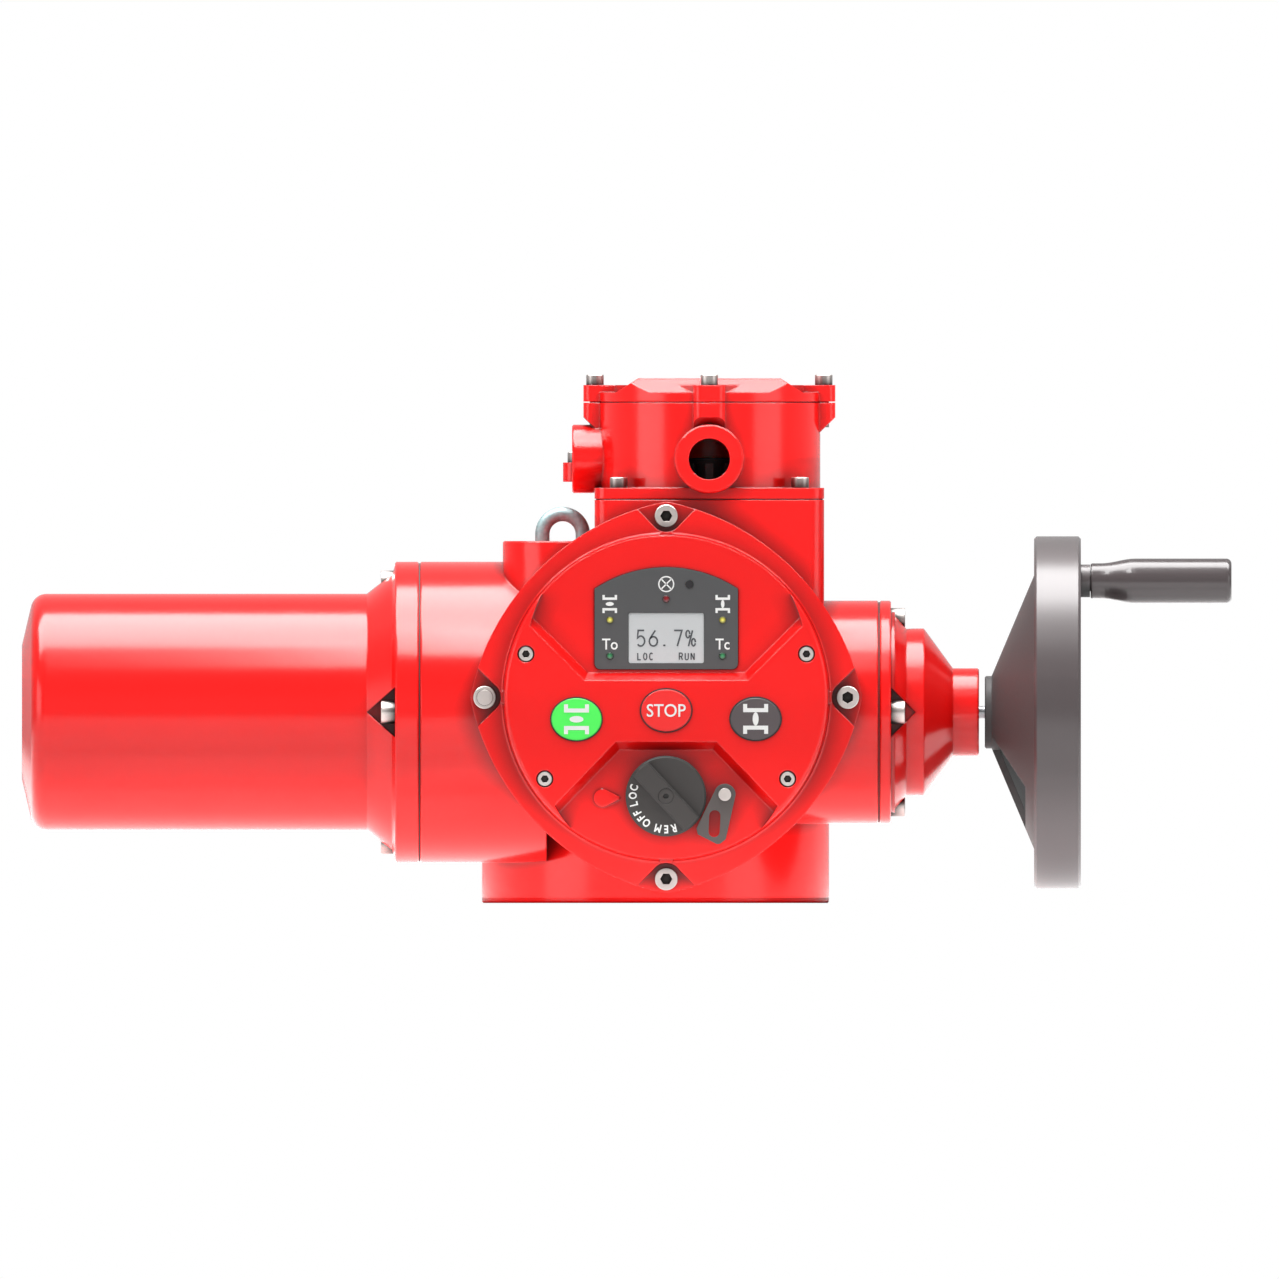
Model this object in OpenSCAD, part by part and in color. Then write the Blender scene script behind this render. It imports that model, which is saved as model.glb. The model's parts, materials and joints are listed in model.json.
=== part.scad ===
// Electric multi-turn valve actuator: motor, worm gear, manual drive, local controls and terminal head.
// Millimetres. +Z is up along the output axis, X runs along the motor and handwheel axis,
// and the controls face -Y. The origin is the centre of the mounting face.

/* [Gear housing] */
// Height of the worm, motor and handwheel axis above the mounting face
axis_z = 108.4; // [107:0.1:112]
// Radius of the base column
base_r = 98.6; // [94:0.1:104]
// Height of the gear case
case_h = 160; // [158:1:168]
// Radius of the neck round the valve stem
neck_r = 46; // [44:1:50]
// Height of the neck above the gear case
neck_h = 25; // [20:1:35]
// Radius of the housing on the motor side
motor_side_r = 85.5; // [83:0.1:90]
// Distance from the output axis to the motor joint
motor_face = 133.8; // [131:0.1:140]
// Radius of the housing on the handwheel side
hand_side_r = 63.4; // [62:0.1:68]
// Distance from the output axis to the handwheel joint
hand_face = 126.7; // [124:0.1:132]
// Thickness of the flat joint gaskets
gasket_t = 0.6; // [0.4:0.1:1]

/* [Worm gear] */
// Module of the worm wheel
gear_module = 2.5; // [2.4:0.05:2.6]
// Teeth of the worm wheel
wheel_teeth = 40; // [39:1:41]
// Pitch radius of the worm
worm_pitch_r = 15; // [14.5:0.1:16]
// Width of the worm wheel
wheel_w = 20; // [16:1:24]
// Turns of the worm thread
worm_turns = 8; // [6:1:10]
// Play between thread and tooth on each flank
backlash = 0.25; // [0.2:0.05:0.4]

/* [Output drive] */
// Radius of the stem bore in the output sleeve
stem_r = 30; // [27:0.5:31]
// Width of the keyway in the stem bore
stem_key_w = 18; // [14:1:20]
// Radius of the spigot recess in the mounting face
spigot_r = 50; // [48:0.5:51]
// Depth of the spigot recess
spigot_depth = 4.5; // [3:0.5:6]
// Pitch circle radius of the mounting bolts
mount_pcd_r = 70; // [68:0.5:75]
// Radius of the tapped mounting holes
mount_hole_r = 7; // [6:0.1:8]
// Depth of the tapped mounting holes
mount_depth = 30; // [24:1:34]

/* [Motor] */
// Radius of the motor cover
motor_r = 67.3; // [66.5:0.1:70]
// Length of the motor cover
motor_len = 225.6; // [220:0.1:240]
// Wall of the motor cover
motor_wall = 7.3; // [6:0.1:7.6]
// Thickness of the motor flange
motor_flange_t = 13.6; // [13:0.1:16]
// Pitch circle radius of the motor screws
motor_bolt_r = 74; // [73:0.1:76]
// Radius of the air gap between rotor and stator
rotor_r = 37.5; // [34:0.5:40]

/* [Manual drive] */
// Pitch circle radius of the manual drive cover screws
hand_bolt_r = 52.7; // [52:0.1:54]
// Radius of the raised ring of the manual drive cover
hand_ring_r = 47.6; // [47:0.1:49]
// Radius of the collar round the handwheel shaft
collar_r = 25; // [22:0.5:28]
// Length of the manual drive cover
hand_cover_len = 56.5; // [55:0.1:62]
// Gap between the collar and the handwheel hub
hub_gap = 3.3; // [2:0.1:6]
// Radius of the handwheel shaft in its bush
hand_shaft_r = 10; // [9:0.1:11]
// Radius of the slim neck between the collar and the hub
shaft_neck_r = 3.5; // [3:0.1:5]

/* [Handwheel] */
// Outer radius of the handwheel
wheel_r = 100; // [96:1:110]
// Inner radius of the rim
rim_in_r = 76; // [72:1:80]
// Width of the rim
rim_w = 26.6; // [22:0.1:30]
// Distance from the hub face to the rim
dish_depth = 28; // [24:0.1:34]
// Wall of the dished web
dish_t = 4; // [3:0.1:5]
// Radius of the hub
hub_r = 20.6; // [18:0.1:23]
// Angle that each window in the web spans
window_angle = 50; // [40:1:60]
// Radius of the handle's place on the rim
handle_at_r = 88; // [86:0.5:91]
// Angle of the handle from the top towards the controls
handle_angle = 32; // [0:1:60]
// Length of the handle grip
grip_len = 80.4; // [70:0.1:95]
// Largest radius of the handle grip
grip_r = 12.7; // [12:0.1:14]

/* [Control compartment] */
// Sideways place of the control cover's centre
cover_x = 6.1; // [4:0.1:8]
// Height of the control cover's centre
cover_z = 116.8; // [115:0.1:120]
// Distance from the output axis to the control joint
front_y = 178; // [174:1:184]
// Radius of the control compartment
ctrl_r = 101; // [99.5:0.1:102]
// Radius of the control cavity
ctrl_cavity_r = 86; // [80:0.5:88]
// Depth of the control cavity
ctrl_depth = 78; // [70:1:79]
// Pitch circle radius of the cover screws
lug_at_r = 103.1; // [102.5:0.1:104]
// Distance from the cover's centre to the tips of its lugs
lug_tip_r = 111.4; // [110.8:0.1:113]

/* [Control cover] */
// Smallest radius of the cover flange, half way between two lugs
cover_r = 102.7; // [102:0.1:104]
// Thickness of the cover flange
cover_flange_t = 16; // [14:0.5:18]
// Radius of the raised dome
dome_r = 93; // [92.5:0.1:94]
// Height of the recessed fields above the flange
field_h = 7; // [6:0.5:9]
// Height of the button band above the recessed fields
band_h = 7; // [5:0.5:9]
// Lean of the band's sides, measured from the front
band_lean = 4.5; // [2:0.5:5.5]
// Wall behind the recessed fields
field_wall = 7; // [6:0.5:9]
// Travel of the push buttons
button_travel = 1.5; // [1:0.1:1.6]
// Half width of the push buttons
button_a = 14.3; // [13:0.1:15]
// Half height of the push buttons
button_b = 12; // [10:0.1:12.5]
// Radius of the selector knob
knob_r = 22.9; // [21:0.1:23]
// Width of the selector's grip bar
knob_bar_w = 11.4; // [9:0.1:13]

/* [Terminal head] */
// Sideways place of the terminal head
head_x = 30.6; // [29:0.1:32]
// Distance of the terminal head in front of the output axis
head_y = 107; // [105:0.5:109]
// Width of the square column
column_w = 130.5; // [129:0.1:132]
// Radius of the column's corners
column_corner = 8.6; // [6:0.1:12]
// Height of the column's joint
column_top = 229.1; // [226:0.1:236]
// Thickness of the terminal flange
head_flange_t = 6.2; // [5:0.1:8]
// Radius of the terminal housing
head_r = 63; // [62:0.1:64]
// Height of the terminal housing above its flange
head_h = 48.4; // [46:0.1:56]
// Wall of the terminal housing
head_wall = 7; // [5:0.1:8]
// Radius of the cable entry bosses
entry_r = 19.5; // [18:0.1:20]
// Radius of the tapped cable entries
entry_bore_r = 11.7; // [10:0.1:13]
// Distance of the cable entry faces from the terminal axis
entry_reach = 78; // [76:0.1:84]
// Pitch circle radius of the lid screws
lid_bolt_r = 65; // [64.5:0.1:66]
// Height of the lid's crown above its rim
crown_h = 8; // [6:0.5:12]

/* [Hidden] */
$fn = 96;

red = [0.9, 0.13, 0.12];
wheel_grey = [0.36, 0.33, 0.33];
steel = [0.74, 0.73, 0.72];
dark_steel = [0.5, 0.5, 0.52];
rubber_black = [0.1, 0.1, 0.1];

// Running clearance of a shaft in its bearing, and play of a part that drops into its seat
run_gap = 0.05;
seat_gap = 0.1;
// Clearance round a screw and round a push button
hole_gap = 0.2;
button_gap = 0.3;
eps = 0.01;
through = 1;
edge = 0.8;

// Cap screws: shank radius, head radius, head height, key width
m5 = [2.5, 4.2, 5, 4];
m6 = [3, 5, 6, 5];
m8 = [4, 6.5, 8, 6];
screw_bite = 16;

// Worm gear
pressure_angle = 20;
wheel_pitch_r = gear_module * wheel_teeth / 2;
wheel_tip_r = wheel_pitch_r + gear_module;
wheel_root_r = wheel_pitch_r - 1.25 * gear_module;
worm_y = -(wheel_pitch_r + worm_pitch_r);
worm_tip_r = worm_pitch_r + gear_module;
worm_core_r = worm_pitch_r - 1.25 * gear_module;
lead = PI * gear_module;
lead_angle = atan(lead / (2 * PI * worm_pitch_r));
base_circle_r = wheel_pitch_r * cos(pressure_angle);
thread_half = lead / 4 - backlash;
thread_steps = 20;

// Output drive, from the mounting face up
out_bearing_w = 16;
low_bearing_in_r = 40;
low_bearing_out_r = max(55, wheel_tip_r + 2);
cavity_r = base_r - 12;
low_bearing_z = 20;
cavity_z = low_bearing_z + out_bearing_w;
wheel_bore_r = 42;
sleeve_shoulder_r = 46;
wheel_z = axis_z - wheel_w / 2;
top_bearing_z = axis_z + wheel_w / 2 + 9.6;
top_bearing_in_r = 35;
top_bearing_out_r = 50;
seal_z = top_bearing_z + out_bearing_w;
seal_w = 10;
top_seal_r = 42;
sleeve_top_r = 33;
sleeve_top = seal_z + seal_w + 4;
neck_bore_r = 36;
neck_top = case_h + neck_h;
plug_h = 8;
plug_r = neck_r - 3;
plug_depth = (neck_top - sleeve_top) / 2;
wheel_key_w = 12;
wheel_key_h = 8;
seal_r = 47;

// Worm line, distances from the output axis
worm_span = 88;
worm_bearing_w = 14;
worm_bearing_r = 23.5;
worm_journal_r = 10;
tunnel_r = worm_tip_r + 4;
bearing_face = worm_span + worm_bearing_w;
clutch_r = 25;
clutch_t = 7.4;
clutch_face = bearing_face + 2.5 + clutch_t;
clutch_gap = 0.6;
motor_pocket_r = 50;
hand_pocket_r = 40;
side_step = 62;
spline_r = 9;
spline_end = bearing_face + 16;

// Motor, distances from the output axis
motor_joint = motor_face + gasket_t;
flange_back = motor_joint + motor_flange_t;
motor_end = motor_joint + motor_len;
bore_r = motor_r - motor_wall;
shield_r = bore_r + 1.6;
shield_step = motor_joint + 11.6;
motor_bearing_w = 15;
motor_bearing_r = 26;
motor_journal_r = 12.5;
motor_bar_r = 15;
front_bearing = motor_joint + 0.6;
rear_bearing = motor_end - 11 - motor_bearing_w;
coil_len = 14;
stator_front = shield_step + 30;
stator_back = rear_bearing - coil_len - 8;
motor_edge_r = 9;
notch_half = 14.2;

// Manual drive and handwheel, distances from the output axis
hand_joint = hand_face + gasket_t;
hand_seat = hand_joint + 6.5;
ring_start = hand_seat + 8.8;
ring_end = ring_start + 10.5;
collar_start = ring_end + 15.9;
collar_end = hand_joint + hand_cover_len;
bush_r = hand_shaft_r + 4;
bush_len = 14;
seal_start = collar_end - 2;
bush_start = seal_start - 0.8 - bush_len;
hub_face = collar_end + hub_gap;
rim_face = hub_face + dish_depth;
rim_back = rim_face + rim_w;
hub_step = hub_face + 3.9;
hub_back = hub_face + 37.9;
hub_bore_r = 8;
nut_r = 6;
nut_end = hub_back + 11;
dish_slope = (rim_face - hub_step) / (rim_in_r + 1.7 - hub_r);
handle_neck = 5.2;
spindle_r = 6;
grip_start = rim_back + handle_neck;
spindle_end = grip_start + grip_len - 10;
handle_y = worm_y - handle_at_r * sin(handle_angle);
handle_z = axis_z + handle_at_r * cos(handle_angle);

// Control cover, distances in front of the output axis
cover_face = front_y + cover_flange_t;
field_face = cover_face + field_h;
band_face = field_face + band_h;
inner_face = field_face - field_wall;
pocket_face = cover_face - m8[2];
dome_round = 7;
dome_foot = 1.2;
cover_bore_r = dome_r - 4.5;
head_pocket_r = m8[1] + 2.6;
lug_len = 40;
// The flange is bounded by four large arcs that cross at the lug tips
arc_shift = (pow(lug_tip_r, 2) - pow(cover_r, 2)) / (2 * (sqrt(2) * cover_r - lug_tip_r));
arc_r = cover_r + sqrt(2) * arc_shift;
groove_r = (ctrl_cavity_r + ctrl_r) / 2;
groove_w = 3;
groove_depth = 2;
frame_t = 4;
board_t = 1.6;
board_face = inner_face - frame_t;
board_r = cover_bore_r - 12.5;
panel_t = 3;
panel_face = field_face + 1;
mat_t = 1.4;
button_proud = 1.2;
button_lip = 1.6;
button_lip_t = 2.4;
button_back = inner_face + mat_t + button_travel + 0.1;
button_shoulder = button_back + button_lip_t + seat_gap;
band_screws = [[79.7, 24.7], [-79.7, 24.7], [69, -46.3], [-69, -46.3]];
knob_at = [-0.2, -56.1];
knob_face = field_face + 8;
knob_bar_h = 10;
knob_turn = -47;
stem_pin_r = 4;
lever_at = [33.3, -55.2];
lever_t = 3;
lever_face = band_face + button_gap + lever_t;
lever_pin_r = 2.4;
lever_boss_r = 5.5;
open_at = [-51, -12.4];
stop_at = [0, -7.4];
close_at = [50.8, -12.2];
lcd_low = [-21.5, 19.4];
lcd_high = [21.5, 48.1];
lcd_depth = 0.4;
led_r = 2;
ir_at = [13.2, 64.3];
ir_r = 2.3;
fault_at = [0, 56];
post_at = [58, 42];
post_h = 8;
post_r = 6;

// Terminal head, heights above the mounting face
column_wall = 8;
column_cavity_z = 175;
head_base = column_top + gasket_t;
head_flange_top = head_base + head_flange_t;
head_top = head_flange_top + head_h;
head_screw = column_w / 2 - 13.75;
entry_z = head_flange_top + 16.4;
socket_r = 30;
block_r = head_r - 15;
block_t = 5;
lug_w = 18;
lug_reach = lid_bolt_r + 6.6;
lid_base = head_top + gasket_t;
lid_rim = lid_base + 5.2;
lid_lug_top = lid_base + 9.4;
crown_w = 106;
crown_top_w = 81;

// Lifting boss and eye
boss_at = [head_x - column_w / 2 - 18.15, -93];
boss_r = 34;
boss_top = 205.7;
eye_wire_r = 4.1;
eye_r = 11.5;
eye_rise = 3.8;
eye_depth = 12;

function arc(cx, cy, r, a0, a1, n = 8) =
    [for (i = [0:n]) let (a = a0 + (a1 - a0) * i / n) [cx + r * cos(a), cy + r * sin(a)]];
function polar(r, a) = [r * cos(a), r * sin(a)];
function ellipse(a, b, n = 48) = [for (i = [0:n - 1]) [a * cos(i * 360 / n), b * sin(i * 360 / n)]];

// Revolved profiles: [radius, distance along the axis]
module turn_x(profile) {
    translate([0, worm_y, axis_z]) rotate([0, 90, 0]) rotate_extrude() polygon(profile);
}
module turn_cover(profile) {
    translate([cover_x, 0, cover_z]) rotate([90, 0, 0]) rotate_extrude() polygon(profile);
}
module ring(r_out, r_in, h) {
    difference() {
        cylinder(h = h, r = r_out);
        translate([0, 0, -through]) cylinder(h = h + 2 * through, r = r_in);
    }
}
module x_ring(r_out, r_in, x, h) {
    translate([x, worm_y, axis_z]) rotate([0, 90, 0]) ring(r_out, r_in, h);
}
module x_rod(r, x, h) {
    translate([x, worm_y, axis_z]) rotate([0, 90, 0]) cylinder(h = h, r = r);
}
// A flat shape seen from the front, from one distance forward of the output axis to another
module on_cover(from, to) {
    translate([cover_x, -from, cover_z]) rotate([90, 0, 0]) linear_extrude(to - from) children();
}
module soft_square(w, d, r) {
    square([w - 2 * r, d], center = true);
    square([w, d - 2 * r], center = true);
    for (x = [-1, 1], y = [-1, 1]) translate([x * (w / 2 - r), y * (d / 2 - r)]) circle(r);
}
module soft_box(low, high, r) {
    translate((low + high) / 2) soft_square(high[0] - low[0], high[1] - low[1], r);
}
module cap_screw(s, length) {
    difference() {
        union() {
            rotate_extrude() polygon([[0, 0], [s[1], 0], [s[1], s[2] - edge / 2],
                [s[1] - edge / 2, s[2]], [0, s[2]]]);
            translate([0, 0, -length]) cylinder(h = length + eps, r = s[0]);
        }
        translate([0, 0, s[2] / 2]) cylinder(h = s[2], r = s[3] / sqrt(3), $fn = 6);
    }
}
module screw_hole(s, length) {
    translate([0, 0, -length]) cylinder(h = length + through, r = s[0] + hole_gap);
}
module bearing(r_out, r_in, w) {
    groove = (r_out - r_in) / 4;
    rotate_extrude() polygon([
        [r_in, 0], [r_in + groove, 0], [r_in + groove, 1], [r_out - groove, 1], [r_out - groove, 0],
        [r_out, 0], [r_out, w], [r_out - groove, w], [r_out - groove, w - 1], [r_in + groove, w - 1],
        [r_in + groove, w], [r_in, w]
    ]);
}

// Places of repeated fasteners, head pointing along local +Z
module at_motor_screws() {
    for (a = [0:90:270]) translate([-flange_back, worm_y, axis_z]) rotate([a, 0, 0])
        translate([0, 0, motor_bolt_r]) rotate([0, -90, 0]) children();
}
module at_hand_screws() {
    for (a = [0:90:270]) translate([hand_seat, worm_y, axis_z]) rotate([a, 0, 0])
        translate([0, 0, hand_bolt_r]) rotate([0, 90, 0]) children();
}
module at_cover_screws() {
    for (a = [0:90:270]) translate([cover_x, -pocket_face, cover_z]) rotate([0, a, 0])
        translate([0, 0, lug_at_r]) rotate([90, 0, 0]) children();
}
module at_band_screws() {
    for (p = band_screws) translate([cover_x + p[0], -(band_face - m5[2]), cover_z + p[1]])
        rotate([90, 0, 0]) children();
}
module at_head_screws() {
    for (x = [-1, 1], y = [-1, 1])
        translate([head_x + x * head_screw, -head_y + y * head_screw, head_flange_top]) children();
}
module at_lid_lugs() {
    for (a = [0:90:270]) translate([head_x, -head_y, 0]) rotate([0, 0, a]) children();
}

// Gear housing
module main_housing() {
    color(red) difference() {
        housing_body();
        output_bores();
        worm_bores();
        control_cavity();
        column_cavity();
        housing_screw_holes();
        eye_and_plug_room();
    }
    floor_y = front_y - ctrl_depth;
    color(red) for (x = [-1, 1], z = [-1, 1]) on_cover(floor_y - eps, floor_y + post_h)
        translate([x * post_at[0], z * post_at[1]]) circle(post_r);
}
module housing_body() {
    rotate_extrude() polygon(concat(
        [[0, 0], [base_r - edge, 0], [base_r, edge]],
        arc(base_r - 6, case_h - 6, 6, 0, 90),
        [[neck_r, case_h], [neck_r, neck_top - edge], [neck_r - edge, neck_top], [0, neck_top]]
    ));
    turn_x([[0, -motor_face], [motor_side_r - edge, -motor_face], [motor_side_r, -motor_face + edge],
        [motor_side_r, -side_step], [0, -side_step]]);
    turn_x([[0, -side_step], [hand_side_r, -side_step], [hand_side_r, hand_face - edge],
        [hand_side_r - edge, hand_face], [0, hand_face]]);
    on_cover(-worm_y, front_y) circle(ctrl_r);
    on_cover(front_y - lug_len, front_y) cover_outline(0.4);
    translate([head_x, -head_y, axis_z]) linear_extrude(column_top - axis_z)
        soft_square(column_w, column_w, column_corner);
    translate([boss_at[0], boss_at[1], axis_z]) rotate_extrude()
        polygon([[0, 0], [boss_r, 0], [boss_r, boss_top - axis_z - edge], [boss_r - edge, boss_top - axis_z],
            [0, boss_top - axis_z]]);
}
module output_bores() {
    translate([0, 0, -through]) cylinder(h = cavity_z + through, r = low_bearing_out_r + run_gap);
    translate([0, 0, cavity_z - eps]) cylinder(h = top_bearing_z - cavity_z + eps, r = cavity_r);
    translate([0, 0, top_bearing_z - eps]) cylinder(h = out_bearing_w + eps, r = top_bearing_out_r + run_gap);
    translate([0, 0, seal_z - eps]) cylinder(h = seal_w + eps, r = top_seal_r);
    translate([0, 0, seal_z]) cylinder(h = neck_top - seal_z + through, r = neck_bore_r);
    for (a = [45:90:315]) rotate(a) translate([mount_pcd_r, 0, -through])
        cylinder(h = mount_depth + through, r = mount_hole_r);
}
module worm_bores() {
    x_rod(tunnel_r, -worm_span - eps, 2 * worm_span + 2 * eps);
    for (x = [-bearing_face, worm_span]) x_rod(worm_bearing_r + run_gap, x, worm_bearing_w);
    x_rod(motor_pocket_r, -motor_face - through, motor_face - bearing_face + through);
    x_rod(hand_pocket_r, bearing_face, hand_face - bearing_face + through);
}
module control_cavity() {
    on_cover(front_y - ctrl_depth, front_y + through) circle(ctrl_cavity_r);
    turn_cover([[groove_r - groove_w / 2, front_y - groove_depth],
        [groove_r + groove_w / 2, front_y - groove_depth],
        [groove_r + groove_w / 2, front_y + through],
        [groove_r - groove_w / 2, front_y + through]]);
}
module column_cavity() {
    translate([head_x, -head_y, column_cavity_z]) linear_extrude(column_top - column_cavity_z + through)
        soft_square(column_w - 2 * column_wall, column_w - 2 * column_wall, 4);
}
module housing_screw_holes() {
    at_motor_screws() screw_hole(m8, motor_flange_t + gasket_t + screw_bite + 2);
    at_hand_screws() screw_hole(m8, hand_seat - hand_face + screw_bite + 2);
    at_cover_screws() screw_hole(m8, pocket_face - front_y + screw_bite + 2);
    at_head_screws() screw_hole(m6, head_flange_t + gasket_t + screw_bite + 2);
    for (x = [-1, 1]) translate([boss_at[0] + x * eye_r, boss_at[1], boss_top - eye_depth])
        cylinder(h = eye_depth + through, r = eye_wire_r + run_gap);
}
// Flat seats that keep the casting clear of the lifting eye and of the stem plug
module eye_and_plug_room() {
    translate([boss_at[0], boss_at[1], boss_top]) cylinder(h = 40, r = eye_r + eye_wire_r + 1.5);
    translate([0, 0, neck_top]) cylinder(h = plug_h + 12, r = plug_r + 1);
}

// Output drive
module bearing_cover() {
    color(dark_steel) difference() {
        cylinder(h = low_bearing_z, r = low_bearing_out_r);
        translate([0, 0, -through]) cylinder(h = spigot_depth + through, r = spigot_r);
        cylinder(h = low_bearing_z, r = low_bearing_in_r + 1.5);
        translate([0, 0, low_bearing_z / 2]) cylinder(h = low_bearing_z, r = seal_r);
        for (a = [0:90:270]) rotate(a) translate([(spigot_r + low_bearing_in_r + 1.5) / 2, 0, 0])
            cylinder(h = spigot_depth + 3, r = 2.5);
    }
}
module output_bearings() {
    color(steel) translate([0, 0, low_bearing_z])
        bearing(low_bearing_out_r, low_bearing_in_r + run_gap, out_bearing_w);
    color(steel) translate([0, 0, top_bearing_z])
        bearing(top_bearing_out_r, top_bearing_in_r + run_gap, out_bearing_w);
}
module output_seals() {
    color(rubber_black) translate([0, 0, low_bearing_z / 2])
        ring(seal_r - run_gap, low_bearing_in_r + run_gap, low_bearing_z / 2 - seat_gap);
    color(rubber_black) translate([0, 0, seal_z])
        ring(top_seal_r - run_gap, sleeve_top_r + run_gap, seal_w);
}
module stem_plug() {
    color(red) difference() {
        union() {
            translate([0, 0, neck_top - plug_depth])
                cylinder(h = plug_depth + eps, r = neck_bore_r - seat_gap);
            translate([0, 0, neck_top]) rotate_extrude()
                polygon([[0, 0], [plug_r, 0], [plug_r, plug_h - 2], [plug_r - 2, plug_h], [0, plug_h]]);
        }
        translate([0, 0, neck_top + plug_h - 6]) cylinder(h = 7, r = 12, $fn = 6);
        translate([0, 0, neck_top - plug_depth - through]) cylinder(h = plug_depth - 2, r = neck_bore_r - 6);
    }
}
module output_sleeve() {
    color(dark_steel) difference() {
        rotate_extrude() polygon([
            [stem_r, 6], [low_bearing_in_r, 6], [low_bearing_in_r, cavity_z], [sleeve_shoulder_r, cavity_z],
            [sleeve_shoulder_r, wheel_z], [wheel_bore_r, wheel_z], [wheel_bore_r, wheel_z + wheel_w],
            [top_bearing_in_r, wheel_z + wheel_w], [top_bearing_in_r, seal_z], [sleeve_top_r, seal_z],
            [sleeve_top_r, sleeve_top], [stem_r - 2, sleeve_top], [stem_r - 2, wheel_z], [stem_r, wheel_z]
        ]);
        translate([stem_r - 3, -stem_key_w / 2, 5]) cube([7.4, stem_key_w, wheel_z - 20]);
        translate([-wheel_key_w / 2, wheel_bore_r - 5, wheel_z]) cube([wheel_key_w, 6, wheel_w + through]);
    }
}
module wheel_key() {
    color(steel) translate([-wheel_key_w / 2, wheel_bore_r - 5, wheel_z])
        cube([wheel_key_w, wheel_key_h, wheel_w]);
}
module wheel_spacer() {
    color(steel) translate([0, 0, wheel_z + wheel_w])
        ring(wheel_bore_r - 1, top_bearing_in_r + run_gap, top_bearing_z - wheel_z - wheel_w);
}

// Worm wheel: involute teeth, each turned to the worm's lead angle
function involute(a) = tan(a) - a * PI / 180;
function half_tooth(r) =
    (PI / (2 * wheel_teeth) + involute(pressure_angle) - involute(acos(base_circle_r / r))) * 180 / PI;
flank_foot_r = max(base_circle_r, wheel_root_r) + 0.01;
flank_radii = [for (i = [0:5]) flank_foot_r + (wheel_tip_r - base_circle_r - 0.01) * i / 5];
tooth_side = [for (r = flank_radii) polar(r, half_tooth(r))];
tooth_root = polar(wheel_root_r - 0.6, half_tooth(flank_radii[0]));
tooth_points = concat([tooth_root], tooth_side, [for (i = [5:-1:0]) [tooth_side[i][0], -tooth_side[i][1]]],
    [[tooth_root[0], -tooth_root[1]]]);
module worm_wheel() {
    color([0.72, 0.53, 0.26]) difference() {
        union() {
            translate([0, 0, wheel_z]) cylinder(h = wheel_w, r = wheel_root_r);
            for (i = [0:wheel_teeth - 1])
                translate([0, 0, axis_z]) rotate((i + 0.5) * 360 / wheel_teeth - 90) rotate([lead_angle, 0, 0])
                    linear_extrude(wheel_w - 0.4, center = true) polygon(tooth_points);
        }
        translate([0, 0, wheel_z - through]) cylinder(h = wheel_w + 2 * through, r = wheel_bore_r);
        translate([-wheel_key_w / 2, 0, wheel_z - through])
            cube([wheel_key_w, wheel_bore_r + wheel_key_h - 5, wheel_w + 2 * through]);
    }
}

// Worm: one left-hand thread swept round a turned shaft
thread_foot_r = worm_core_r - 0.5;
thread_profile = [for (p = [[-1, thread_foot_r], [-1, worm_tip_r], [1, worm_tip_r], [1, thread_foot_r]])
    [p[0] * (thread_half - (p[1] - worm_pitch_r) * tan(pressure_angle)), p[1]]];
thread_rings = worm_turns * thread_steps;
thread_points = [for (i = [0:thread_rings]) let (phi = (i - thread_rings / 2) * 360 / thread_steps)
    for (p = thread_profile) [p[0] - lead * phi / 360, p[1] * cos(phi), p[1] * sin(phi)]];
thread_faces = concat(
    [[3, 2, 1, 0]],
    [for (i = [0:thread_rings - 1], j = [0:3]) let (a = 4 * i + j, b = 4 * i + (j + 1) % 4)
        each [[a, b, a + 4], [b, b + 4, a + 4]]],
    [[for (j = [0:3]) 4 * thread_rings + j]]
);
module worm_shaft() {
    color(steel) union() {
        turn_x([
            [0, -clutch_face], [clutch_r, -clutch_face], [clutch_r, clutch_t - clutch_face],
            [worm_journal_r, clutch_t - clutch_face], [worm_journal_r, -worm_span], [worm_core_r, -worm_span],
            [worm_core_r, worm_span], [worm_journal_r, worm_span], [worm_journal_r, bearing_face],
            [spline_r, bearing_face], [spline_r, spline_end], [0, spline_end]
        ]);
        translate([0, worm_y, axis_z]) polyhedron(points = thread_points, faces = thread_faces);
    }
}
module worm_bearings() {
    color(dark_steel) for (x = [-bearing_face, worm_span]) translate([x, worm_y, axis_z]) rotate([0, 90, 0])
        bearing(worm_bearing_r, worm_journal_r + run_gap, worm_bearing_w);
}

// Flat gaskets of the four joints
module joint_gaskets() {
    color(rubber_black) difference() {
        x_ring(motor_side_r - edge, motor_pocket_r, -motor_joint, gasket_t);
        at_motor_screws() screw_hole(m8, motor_flange_t + 2);
    }
    color(rubber_black) difference() {
        x_ring(hand_side_r - edge, hand_pocket_r, hand_face, gasket_t);
        at_hand_screws() screw_hole(m8, hand_seat - hand_face + 2);
    }
    color(rubber_black) difference() {
        translate([head_x, -head_y, column_top]) linear_extrude(gasket_t) difference() {
            soft_square(column_w - 2 * edge, column_w - 2 * edge, column_corner - edge);
            soft_square(column_w - 2 * column_wall, column_w - 2 * column_wall, 4);
        }
        at_head_screws() screw_hole(m6, head_flange_t + 2);
    }
    color(rubber_black) difference() {
        translate([head_x, -head_y, head_top]) linear_extrude(gasket_t) difference() {
            circle(head_r - edge);
            circle(head_r - head_wall);
        }
        at_lid_lugs() translate([lid_bolt_r, 0, lid_lug_top]) screw_hole(m6, screw_bite + 12);
    }
}

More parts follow.
